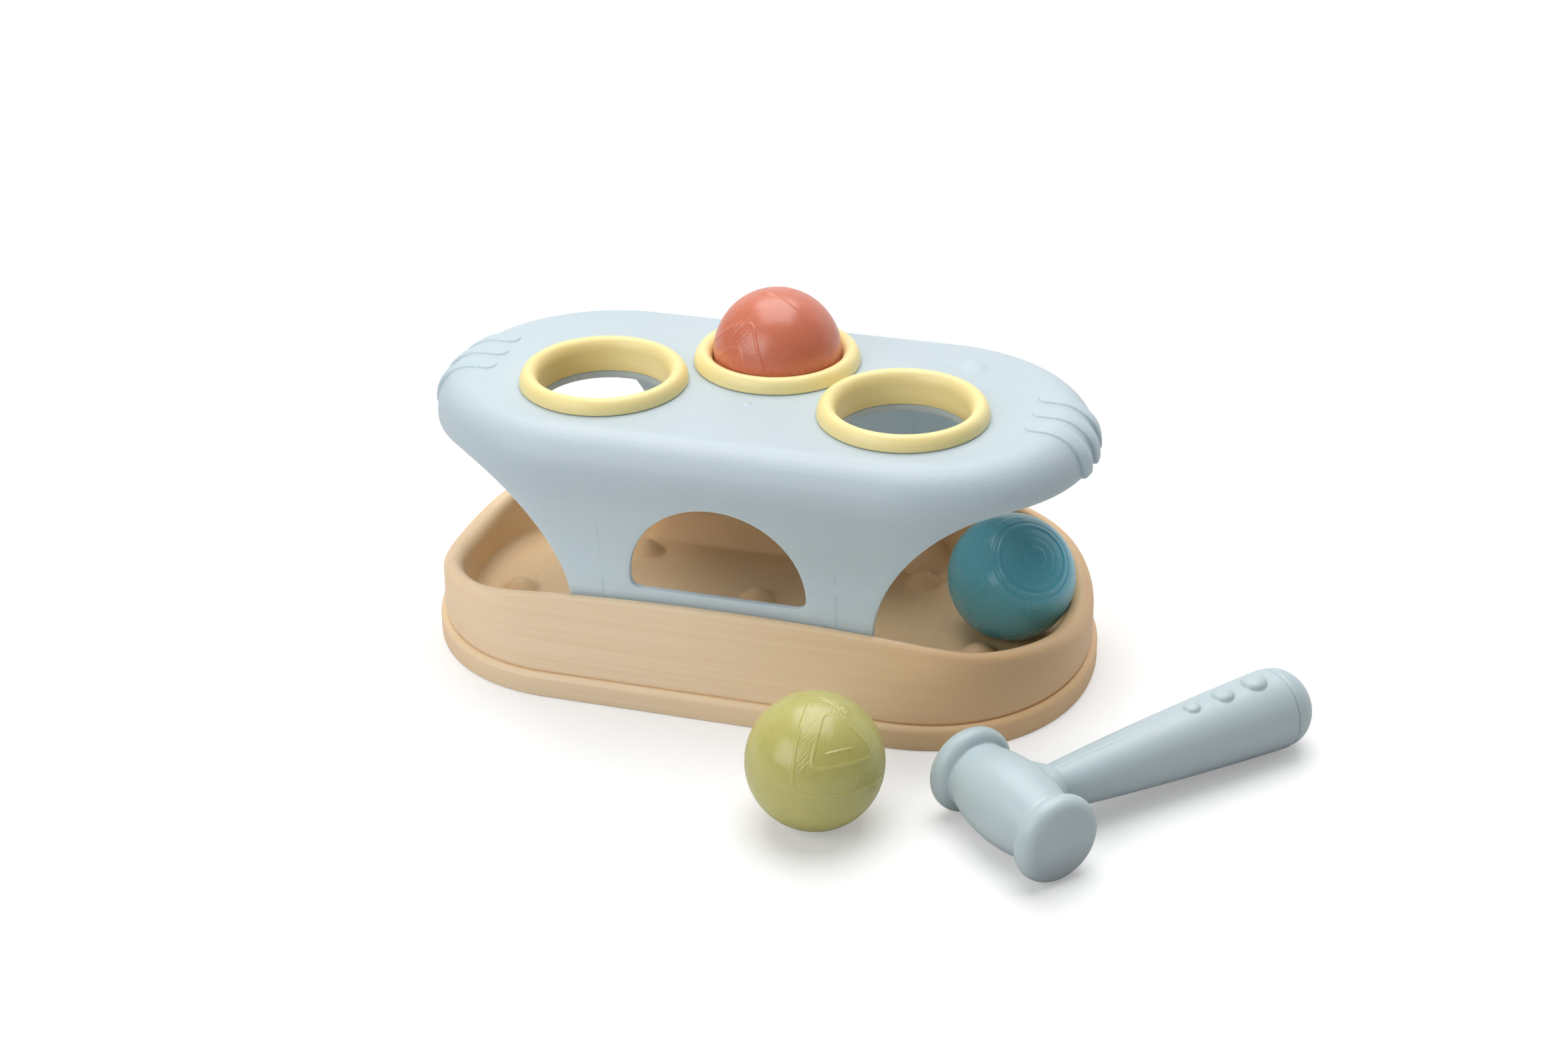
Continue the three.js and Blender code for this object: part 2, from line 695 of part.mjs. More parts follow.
function hammerEndCap() {
  const start = handleStop + slipGap;
  const plug = handleEndRadius - handleWall - slipGap * 2;
  const profile = [
    [0, start - capSpigotLength],
    [plug - slipGap, start - capSpigotLength],
    [plug, start],
    [handleEndRadius - capGroove, start],
    [handleEndRadius - capGroove / 3, start + capGroove],
  ];
  for (let i = 1; i <= arcSteps; i++) {
    const angle = (i / arcSteps) * (Math.PI / 2);
    const radius = (handleEndRadius - capGroove / 3) * Math.cos(angle);
    profile.push([i === arcSteps ? 0 : radius, start + capGroove + (capLength - capGroove) * Math.sin(angle)]);
  }
  return piece("hammer_end_cap", turned(profile, smallSteps).rotate([-90, 0, 0]), hammerBlue());
}

function hammer() {
  const group = new THREE.Group();
  group.add(hammerHead(), hammerHandle(), hammerEndCap());
  // It lies on the rims of its discs and on the thick end of its handle.
  const tilt = Math.asin((headDiscRadius - handleEndRadius) / (handleStop - handleRootRadius));
  group.rotation.set(-tilt, 0, THREE.MathUtils.degToRad(hammerTurn), "ZXY");
  group.position.set(hammerX, hammerY, headDiscRadius + restGap);
  return group;
}

// The whole toy

const bench = new THREE.Group();
bench.add(tray(), benchShell());
for (const place of ringPlaces) bench.add(gripRing(place));
for (const place of screwPlaces) bench.add(screw(place));

const toy = new THREE.Group();
toy.add(bench);
toy.add(
  ball(
    "red_ball",
    ["upper", "lower"],
    0xd2644c,
    [0, ringBack, benchTop + redBallRise],
    new THREE.Vector3(0, 0, 1),
  ),
  ball(
    "teal_ball",
    ["front", "back"],
    0x2f8290,
    [tealBallX, tealBallY, floorTop + ballRadius + restGap],
    new THREE.Vector3(1, -2, 1),
  ),
  ball(
    "green_ball",
    ["front", "back"],
    0xb4b75f,
    [greenBallX, greenBallY, ballRadius + restGap],
    new THREE.Vector3(0, -2, 1),
  ),
);
toy.add(hammer());

export default toy;
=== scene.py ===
# A toddler's pounding bench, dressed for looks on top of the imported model.
# Sizes are in millimetres in the model's own frame; tool turns them into metres.
import math

import bmesh
import bpy
import numpy as np
from mathutils import Matrix, Vector
from mathutils.geometry import delaunay_2d_cdt


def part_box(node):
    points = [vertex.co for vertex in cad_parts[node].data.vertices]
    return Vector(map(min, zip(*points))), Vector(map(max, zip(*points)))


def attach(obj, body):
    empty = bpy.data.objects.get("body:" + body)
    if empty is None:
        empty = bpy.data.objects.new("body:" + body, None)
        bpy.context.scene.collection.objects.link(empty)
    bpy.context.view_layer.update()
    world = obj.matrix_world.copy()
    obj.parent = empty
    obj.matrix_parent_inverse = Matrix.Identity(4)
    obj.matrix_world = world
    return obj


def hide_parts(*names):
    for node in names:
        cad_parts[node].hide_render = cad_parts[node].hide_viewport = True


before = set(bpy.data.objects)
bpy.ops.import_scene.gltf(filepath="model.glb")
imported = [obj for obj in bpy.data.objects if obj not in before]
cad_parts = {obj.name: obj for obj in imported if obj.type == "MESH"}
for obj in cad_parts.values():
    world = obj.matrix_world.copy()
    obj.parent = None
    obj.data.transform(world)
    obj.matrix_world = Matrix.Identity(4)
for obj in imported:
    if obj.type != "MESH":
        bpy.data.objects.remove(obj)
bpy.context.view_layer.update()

mm = 0.001
quarterTurn = math.pi / 2
print("frame loaded:", len(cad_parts), "nodes")


# Shader helpers

class Wire:   # a shader socket that can be used in sums
    def __init__(self, tree, out):
        self.tree, self.out = tree, out

    def maths(self, operation, second=0.0, first=None):
        made = self.tree.nodes.new("ShaderNodeMath")
        made.operation = operation
        for socket, value in zip(made.inputs, (self if first is None else first, second)):
            if isinstance(value, Wire):
                self.tree.links.new(value.out, socket)
            else:
                socket.default_value = value
        return Wire(self.tree, made.outputs[0])

    def size(self):
        return self.maths("ABSOLUTE")

    def __add__(self, other):
        return self.maths("ADD", other)

    def __sub__(self, other):
        return self.maths("SUBTRACT", other)

    def __rsub__(self, other):
        return self.maths("SUBTRACT", self, other)

    def __mul__(self, other):
        return self.maths("MULTIPLY", other)

    def __truediv__(self, other):
        return self.maths("DIVIDE", other)

    __radd__, __rmul__ = __add__, __mul__


def colour(red, green, blue):   # a colour as it is seen on screen, 0 to 255, for a shader socket
    shares = (red / 255, green / 255, blue / 255)
    linear = [v / 12.92 if v <= 0.04045 else ((v + 0.055) / 1.055) ** 2.4 for v in shares]
    return (*linear, 1.0)


class Finish:   # a material with the nodes that feed its shader
    def __init__(self, name, base, roughness, **fixed):
        self.material = bpy.data.materials.new(name)
        self.material.use_nodes = True
        self.tree = self.material.node_tree
        self.shader = next(n for n in self.tree.nodes if n.type == "BSDF_PRINCIPLED")
        self.shader.inputs["Base Color"].default_value = base
        self.shader.inputs["Roughness"].default_value = roughness
        for key, value in fixed.items():
            self.shader.inputs[key.replace("_", " ")].default_value = value
        self.place = self.node("TexCoord", out="Object")

    def node(self, kind, settings=None, sockets=None, out=0):
        made = self.tree.nodes.new("ShaderNode" + kind)
        for key, value in (settings or {}).items():
            setattr(made, key, value)
        for key, value in (sockets or {}).items():
            if isinstance(value, Wire):
                self.tree.links.new(value.out, made.inputs[key])
            else:
                made.inputs[key].default_value = value
        return Wire(self.tree, made.outputs[out])

    def feed(self, socket, wire):
        self.tree.links.new(wire.out, self.shader.inputs[socket])

    def axes(self):   # X, Y and Z of the place in the piece, in metres
        return [self.node("SeparateXYZ", None, {0: self.place}, out=axis) for axis in "XYZ"]

    def scaled(self, scale, shift=(0.0, 0.0, 0.0)):   # the place in the piece, in waves per metre
        sockets = {"Vector": self.place, "Location": shift, "Scale": scale}
        return self.node("Mapping", {"vector_type": "POINT"}, sockets)

    def noise(self, scale, detail=2.0, rough=0.5, shift=0.0):   # the scale is one number or one for each axis
        vector = self.scaled(scale if isinstance(scale, tuple) else (scale,) * 3)
        sockets = {"Vector": vector, "Scale": 1.0, "Detail": detail, "Roughness": rough, "W": shift}
        return self.node("TexNoise", {"noise_dimensions": "4D"}, sockets)

    def specks(self, perMetre, size):   # 1 in the middle of each speck, 0 outside
        sockets = {"Vector": self.scaled((perMetre,) * 3), "Scale": 1.0}
        distance = self.node("TexVoronoi", {"feature": "F1"}, sockets, out="Distance")
        return self.step(distance, size, size * 0.35)

    def step(self, value, low, high):   # 0 at low, 1 at high, soft in between
        sockets = {"Value": value, "From Min": low, "From Max": high, "To Min": 0.0, "To Max": 1.0}
        return self.node("MapRange", {"interpolation_type": "SMOOTHSTEP"}, sockets)

    def mix(self, share, first, second):
        sockets = {0: share, 6: first, 7: second}   # the colour sockets among those for numbers and vectors
        return self.node("Mix", {"data_type": "RGBA", "blend_type": "MIX"}, sockets, out=2)

    def bump(self, height, strength, distance, under=None):
        sockets = {"Height": height, "Strength": strength, "Distance": distance}
        if under is not None:
            sockets["Normal"] = under
        return self.node("Bump", None, sockets)


# Mesh helpers

def makePiece(name, points, faces, body, finish, nodes, sharp, place=None):
    piece = tool(points, faces)
    if place is not None:
        piece.data.transform(place)
    return dress(piece, name, body, finish, nodes, sharp)


def dress(piece, name, body, finish, nodes, sharp):   # a finished mesh becomes a named piece of the toy
    piece.name = piece.data.name = name
    piece.data.materials.clear()
    piece.data.materials.append(finish)
    smooth(piece, sharp)
    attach(piece, body)
    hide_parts(*nodes)
    return piece


def smooth(piece, sharp):
    piece.data.shade_smooth()
    piece.data.set_sharp_from_angle(angle=math.radians(sharp))


def tool(points, faces):   # an object from points in millimetres
    mesh = bpy.data.meshes.new("tool")
    mesh.from_pydata((np.asarray(points, float) * mm).tolist(), [], faces)
    edit = bmesh.new()
    edit.from_mesh(mesh)
    bmesh.ops.remove_doubles(edit, verts=edit.verts, dist=0.004 * mm)
    bmesh.ops.recalc_face_normals(edit, faces=edit.faces)
    edit.to_mesh(mesh)
    edit.free()
    made = bpy.data.objects.new("tool", mesh)
    bpy.context.scene.collection.objects.link(made)
    return made


def boolean(piece, other, operation):
    change = piece.modifiers.new("cut", "BOOLEAN")
    change.operation, change.object, change.solver = operation, other, "EXACT"
    applied(piece)
    bpy.data.objects.remove(other)


def applied(piece):   # the mesh with its modifiers, in place of the mesh
    graph = bpy.context.evaluated_depsgraph_get()
    made = bpy.data.meshes.new_from_object(piece.evaluated_get(graph))
    piece.modifiers.clear()
    old = piece.data
    piece.data = made
    bpy.data.meshes.remove(old)


def gridFaces(rings, count, closed=True, start=0):   # quads between rings that hold the same number of points
    faces = []
    last = count if closed else count - 1
    for ring in range(rings - 1):
        low, high = start + ring * count, start + (ring + 1) * count
        for i in range(last):
            j = (i + 1) % count
            faces.append((low + i, low + j, high + j, high + i))
    return faces


def circle(steps):   # points of a unit circle
    angle = np.arange(steps) / steps * 2 * math.pi
    return np.stack([np.cos(angle), np.sin(angle)], 1)


def lathe(profile, steps, closed=True):   # a profile of [radius, height] is turned about Z
    unitCircle = circle(steps)
    rings = [np.column_stack([r * unitCircle, np.full(steps, z)]) for r, z in np.asarray(profile, float)]
    faces = gridFaces(len(rings), steps)
    if closed:
        last = (len(rings) - 1) * steps
        faces += [(last + i, last + (i + 1) % steps, (i + 1) % steps, i) for i in range(steps)]
    return np.concatenate(rings), faces


def block(x0, x1, y0, y1, z0, z1):
    points = [(x, y, z) for x in (x0, x1) for y in (y0, y1) for z in (z0, z1)]
    faces = [(0, 1, 3, 2), (4, 6, 7, 5), (0, 4, 5, 1), (2, 3, 7, 6), (0, 2, 6, 4), (1, 5, 7, 3)]
    return points, faces


def joined(parts):
    points, faces = [], []
    for some, more in parts:
        faces += [tuple(int(i) + len(points) for i in face) for face in more]
        points += [tuple(p) for p in some]
    return points, faces


def fade(value, low, high):   # 0 at low, 1 at high, soft in between
    t = np.clip((value - low) / (high - low), 0, 1)
    return t * t * (3 - 2 * t)


def bends(steps, turn=quarterTurn, first=1):   # the angles of a bend, in even steps
    return [i / steps * turn for i in range(first, steps + 1)]


def boxOf(*nodes):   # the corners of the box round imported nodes, in millimetres
    corners = np.array([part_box(node) for node in nodes]) / mm
    return np.round(corners[:, 0].min(0), 2), np.round(corners[:, 1].max(0), 2)


def middleOf(*nodes):
    low, high = boxOf(*nodes)
    return np.round((low + high) / 2, 2)


# Camera, floor and light

studio = {
    "cameraAt": (257.86, -839.57, 517.08),
    "turn": 0.289, "height": 0.489, "roll": 0.011,   # in radians
    "lens": 57.70, "sensor": 36.0, "clip": (0.05, 50.0),
    "floorHalf": 6.0,                                     # in metres, as the lamps are
    "paper": 0.70, "seenPaper": 1.03, "glowShare": 0.3,   # how light the floor is, and how light it looks
    "air": 0.07, "backdrop": 0.85,                        # light from all round, and from behind the toy
    "backdropRise": 1.8, "backdropStart": -0.4,
    "topLamp": {"way": (-0.07, 0.23, 0.97), "far": 4.0, "size": (3.7, 4.2), "power": 168.0},
    "sideLamp": {"way": (-0.44, -0.72, 0.53), "far": 1.5, "size": (1.2, 0.9), "power": 9.2},
}


def studioCamera(setup):
    turn, height, roll = setup["turn"], setup["height"], setup["roll"]
    back = Vector((math.sin(turn) * math.cos(height), -math.cos(turn) * math.cos(height), math.sin(height)))
    side = (-back).cross(Vector((0, 0, 1))).normalized()
    down = (-back).cross(side)
    across = math.cos(roll) * side + math.sin(roll) * down
    below = -math.sin(roll) * side + math.cos(roll) * down
    data = bpy.data.cameras.new("studioCamera")
    data.lens, data.sensor_width, data.sensor_fit = setup["lens"], setup["sensor"], "HORIZONTAL"
    data.clip_start, data.clip_end = setup["clip"]
    camera = bpy.data.objects.new("studioCamera", data)
    bpy.context.scene.collection.objects.link(camera)
    turned = Matrix((across, -below, back)).transposed().to_4x4()
    camera.matrix_world = Matrix.Translation(Vector(setup["cameraAt"]) * mm) @ turned
    bpy.context.scene.camera = camera


def softbox(name, lamp):
    data = bpy.data.lights.new(name, "AREA")
    data.shape, data.energy = "RECTANGLE", lamp["power"]
    data.size, data.size_y = lamp["size"]
    made = bpy.data.objects.new(name, data)
    bpy.context.scene.collection.objects.link(made)
    way = Vector(lamp["way"]).normalized()
    made.location = way * lamp["far"]
    made.rotation_euler = (-way).to_track_quat("-Z", "Y").to_euler()


def studioFloor(setup):
    mesh = bpy.data.meshes.new("studioFloor")
    half = setup["floorHalf"]
    corners = [(x * half, y * half, 0) for x, y in ((-1, -1), (1, -1), (1, 1), (-1, 1))]
    mesh.from_pydata(corners, [], [(0, 1, 2, 3)])
    floor = bpy.data.objects.new("studioFloor", mesh)
    bpy.context.scene.collection.objects.link(floor)
    paper = Finish("studioPaper", colour(230, 230, 230), 0.9)
    seen = paper.node("LightPath", out="Is Camera Ray")
    shade = setup["paper"] + seen * (setup["seenPaper"] - setup["paper"])
    grey = paper.node("CombineXYZ", None, {0: shade, 1: shade, 2: shade})
    matt = paper.node("BsdfDiffuse", None, {"Color": grey})
    glow = paper.node("Emission", None, {"Color": (1, 1, 1, 1), "Strength": 1.0})
    mixer = paper.node("MixShader", None, {0: seen * setup["glowShare"], 1: matt, 2: glow})
    output = next(n for n in paper.tree.nodes if n.type == "OUTPUT_MATERIAL")
    paper.tree.links.new(mixer.out, output.inputs[0])
    mesh.materials.append(paper.material)


def studioAir(setup):   # white where the camera sees it, and a soft light from behind
    world = bpy.data.worlds.new("studioAir")
    bpy.context.scene.world = world
    world.use_nodes = True
    tree = world.node_tree
    air = next(n for n in tree.nodes if n.type == "BACKGROUND")
    air.inputs["Color"].default_value = (1, 1, 1, 1)
    way = tree.nodes.new("ShaderNodeSeparateXYZ")
    tree.links.new(tree.nodes.new("ShaderNodeTexCoord").outputs["Generated"], way.inputs[0])
    behind = Wire(tree, way.outputs["Y"]) * setup["backdropRise"] + setup["backdropStart"]
    behind = behind.maths("MAXIMUM", 0.0).maths("MINIMUM", 1.0)
    seen = Wire(tree, tree.nodes.new("ShaderNodeLightPath").outputs["Is Camera Ray"])
    around = behind * (setup["backdrop"] - setup["air"]) + setup["air"]
    strength = seen + (1 - seen) * around
    tree.links.new(strength.out, air.inputs["Strength"])


studioCamera(studio)
studioFloor(studio)
studioAir(studio)
softbox("topSoftbox", studio["topLamp"])
softbox("sideSoftbox", studio["sideLamp"])
bpy.context.scene.view_settings.view_transform = "Standard"
print("studio ready")


# Finishes, with places in metres

def tanPlastic():
    look = Finish("tanPlastic", colour(242, 213, 174), 0.45, Specular_IOR_Level=0.6, Subsurface_Weight=0.25,
                  Subsurface_Radius=(1.0, 0.62, 0.32), Subsurface_Scale=0.003)
    x, y, z = look.axes()
    straight, endReach, sideReach = 0.067, 0.054, 0.0564   # the outline of the tray's floor
    past = (x.size() - straight).maths("MAXIMUM", 0.0)
    share = look.node("CombineXYZ", None, {0: past / endReach, 1: y / sideReach})
    inside = look.step(look.node("VectorMath", {"operation": "LENGTH"}, {0: share}, out="Value"), 1.09, 1.0)
    # the back of the hall under the bench, where painted shade darkens the colour
    hall = look.step(x.size(), 0.085, 0.055) * look.step(y, -0.01, 0.045) * inside
    bank = look.step(y.size(), 0.036, 0.042) * hall
    ground = look.step(z - 0.012 * bank, 0.0165, 0.0118) * inside
    broad = look.noise((14, 14, 20))
    along = look.noise((7, 7, 900), 3.0, 0.6, 3.1)
    across = look.noise((420, 7, 30), 3.0, 0.6, 7.7)
    streak = along * (1 - ground) + across * ground
    base = look.mix(look.step(broad, 0.3, 0.7) * 0.5, colour(247, 218, 179), colour(243, 211, 169))
    # painted light: the middle-left of the tray is paler, where the lamp's sheen falls
    base = look.mix(look.step(x, 0.06, -0.03) * look.step(x, -0.13, -0.08) * 0.6, base, colour(251, 228, 197))
    # painted shade: the right end of the tray is deeper brown, away from the lamps
    base = look.mix(look.step(x, 0.045, 0.11) * 0.9, base, colour(236, 195, 146))
    base = look.mix(inside * 0.9, base, colour(246, 211, 164))
    # painted shade under the bench
    base = look.mix(hall * 0.6, base, colour(218, 168, 112))
    base = look.mix(look.step(streak, 0.35, 0.75) * 0.3, base, colour(228, 190, 144))
    rare = look.step(look.noise(60, 1.0, 0.5, 9.0), 0.60, 0.68)
    base = look.mix(look.specks(170, 0.13) * rare * 0.6, base, colour(240, 226, 204))
    look.feed("Base Color", base)
    look.feed("Roughness", 0.43 + look.step(broad, 0.2, 0.8) * 0.08 + streak * 0.04)
    look.feed("Normal", look.bump(streak, 0.16, 0.0003, look.bump(look.noise(900), 0.06, 0.0004)))
    return look.material


def bluePlastic():
    look = Finish("bluePlastic", colour(194, 211, 221), 0.40, Specular_IOR_Level=0.65, Subsurface_Weight=0.45,
                  Subsurface_Radius=(0.8, 0.95, 1.0), Subsurface_Scale=0.012)
    x, y, z = look.axes()
    broad = look.noise((11, 11, 16))
    flow = look.noise((6, 240, 1300), 3.0, 0.65, 1.3)
    bossAt = 0.046   # the skin has sunk a little over each boss, in a broken upright line
    sunk = look.step((x.size() - bossAt).size(), 0.0011, 0.0003) * look.step(z, 0.082, 0.07)
    sunk = sunk * look.step(y.size(), 0.052, 0.056)
    sunk = sunk * look.step(look.noise((60, 60, 160), 2.0, 0.5, 6.0), 0.38, 0.62)
    edge = look.step(z, 0.109, 0.103) * look.step(z, 0.078, 0.09)
    right = look.step(x, -0.03, 0.05) * look.step(z, 0.1, 0.09) * look.step(z, 0.055, 0.075)
    base = look.mix(look.step(broad, 0.3, 0.7) * 0.5, colour(194, 210, 219), colour(190, 206, 216))
    # painted light: the lower skirts are lighter and bluer
    base = look.mix(look.step(z, 0.085, 0.035) * 0.95, base, colour(206, 227, 242))
    # painted shade on the rounded edge below the flat top
    base = look.mix(edge * 0.6, base, colour(181, 196, 206))
    # painted shade on the right part of the skirts, away from the lamps
    base = look.mix(right * 0.6, base, colour(181, 196, 204))
    base = look.mix(look.step(flow, 0.35, 0.8) * 0.25, base, colour(180, 202, 212))
    base = look.mix(sunk * 0.35, base, colour(165, 188, 199))
    look.feed("Base Color", base)
    look.feed("Roughness", 0.38 + look.step(broad, 0.2, 0.8) * 0.06 + flow * 0.1)
    look.feed("Normal", look.bump(flow + sunk * 0.6, 0.3, 0.0003, look.bump(look.noise(1100), 0.05, 0.0004)))
    return look.material


def hammerPlastic():
    look = Finish("hammerPlastic", colour(188, 204, 209), 0.40, Specular_IOR_Level=0.65,
                  Subsurface_Weight=0.2, Subsurface_Radius=(0.7, 0.95, 1.0), Subsurface_Scale=0.003)
    broad = look.noise(22)
    base = look.mix(look.step(broad, 0.3, 0.7) * 0.5, colour(189, 205, 210), colour(183, 200, 204))
    # painted shade: the hammer is darker low down, near the floor
    low = look.step(look.axes()[2], 0.018, 0.003)
    look.feed("Base Color", look.mix(low * 0.8, base, colour(154, 166, 171)))
    look.feed("Roughness", 0.37 + look.step(broad, 0.2, 0.8) * 0.08)
    look.feed("Normal", look.bump(look.noise(1000), 0.06, 0.0004))
    return look.material


def yellowElastomer():
    look = Finish("yellowElastomer", colour(255, 231, 160), 0.34, Specular_IOR_Level=0.45,
                  Subsurface_Weight=0.1, Subsurface_Radius=(1.0, 0.8, 0.5), Subsurface_Scale=0.001)
    broad = look.noise(30)
    base = look.mix(look.step(broad, 0.3, 0.7) * 0.6, colour(255, 237, 172), colour(255, 231, 157))
    look.feed("Base Color", base)
    look.feed("Roughness", 0.29 + look.step(broad, 0.2, 0.8) * 0.1)
    look.feed("Normal", look.bump(look.noise(500), 0.03, 0.0004))
    return look.material


def ballPlastic(name, bright, deep, glow, shadeColour=None, low=(0.0, 0.0)):
    look = Finish(name, bright, 0.27, Specular_IOR_Level=0.65, Subsurface_Weight=0.7,
                  Subsurface_Radius=glow, Subsurface_Scale=0.004)
    base = look.mix(look.step(look.noise(35), 0.2, 0.8) * 0.3, bright, deep)
    if shadeColour:   # painted shade: the lower part is darker
        base = look.mix(look.step(look.axes()[2], *low) * 0.7, base, shadeColour)
    look.feed("Base Color", base)
    look.feed("Roughness", 0.25 + look.step(look.noise(60, 2.0, 0.5, 4.0), 0.2, 0.8) * 0.04)
    look.feed("Normal", look.bump(look.noise(700), 0.03, 0.0003))
    return look.material


def zincSteel():
    look = Finish("zincSteel", (0.66, 0.67, 0.69, 1), 0.34, Metallic=1.0)
    scuff = look.noise((300, 300, 1500), 3.0)
    look.feed("Base Color", look.mix(scuff * 0.5, (0.70, 0.71, 0.73, 1), (0.55, 0.56, 0.57, 1)))
    look.feed("Roughness", 0.28 + scuff * 0.15)
    look.feed("Normal", look.bump(scuff, 0.1, 0.0002))
    return look.material


tan, blue, hammerBlue = tanPlastic(), bluePlastic(), hammerPlastic()
yellow, steel = yellowElastomer(), zincSteel()
redClear = ballPlastic("redPlastic", colour(221, 131, 104), colour(214, 122, 95), (1.0, 0.4, 0.25))
tealClear = ballPlastic("tealPlastic", colour(112, 196, 216), colour(100, 186, 207), (0.5, 0.9, 1.0),
                        colour(62, 132, 172), (0.040, 0.016))
greenClear = ballPlastic("greenPlastic", colour(196, 190, 116), colour(188, 182, 105), (0.9, 1.0, 0.5))
print("finishes ready")


# Tray

trayShape = {
    "halfLength": boxOf("tray")[1][0], "halfWidth": boxOf("tray")[1][1], "cornerStart": 67.1,
    "footHeight": 10.0, "footStep": 2.0, "footRound": 0.8, "shoulder": 2.4, "groove": 1.1, "bead": 2.2,
    "grooveFloor": 0.1,
    "floorTop": 11.0, "floorHalfLength": 121.1, "floorHalfWidth": 56.41, "floorRound": (5.4, 4.0),
    "rimHalfLength": 126.4, "rimHalfWidth": 62.31, "rimCornerStart": 79.0,
    "rimRoll": (5.3, 2.0),                 # at the ends, along the sides
    # at the ends, where the corners start, in the middle of a side
    "crest": (28.3, 40.4, boxOf("tray")[1][2]),
    "crestShares": (0, 0.06, 0.19, 0.32, 0.44, 0.55, 0.65, 0.745, 0.835, 0.92, 1),
    "crestStep": 9,                        # degrees of the corner between two shares
    "cornerPower": 0.95, "wall": 2.5, "leastHollow": 0.3,
    "bumpPlaces": ((-0.828, -0.231), (-0.51, 0.552), (-0.041, 0.071), (0.472, 0.623), (0.753, -0.27),
                   (0.315, -0.56), (-0.348, -0.53)),
    "bumpRadius": 7.8, "bumpHeight": 5.3, "bumpPower": 1.1,
    "bank": {"halfLength": (67.0, 56.0), "rise": (41.5, 50.0), "top": 23.7},   # it carries the bench's bosses
    # the room under each bank, for the screws
    "hollow": {"halfLength": 55.0, "inner": 51.5, "outer": 64.3, "roof": 3.0, "below": -8.0},
    "cornerSteps": 44, "sideSteps": 30, "floorSteps": 78,
}


# For each point of an outline: whether it is on a corner, its angle, its reach along a side, and its signs.
def trayStations(tray):
    angles = np.linspace(0, quarterTurn, tray["cornerSteps"] + 1)
    along = np.linspace(1, 0, tray["sideSteps"] + 1)[1:]
    corner = np.concatenate([np.ones(len(angles)), np.zeros(len(along))])
    angle = np.concatenate([angles, np.full(len(along), quarterTurn)])
    reach = np.concatenate([np.ones(len(angles)), along])
    quarter = np.stack([corner, angle, reach], 1)
    back = quarter[::-1]
    parts = ((quarter, 1, 1), (back[1:], -1, 1), (quarter[1:], -1, -1), (back[1:-1], 1, -1))
    rows = [np.column_stack([some, np.tile([sx, sy], (len(some), 1))]) for some, sx, sy in parts]
    return np.concatenate(rows)


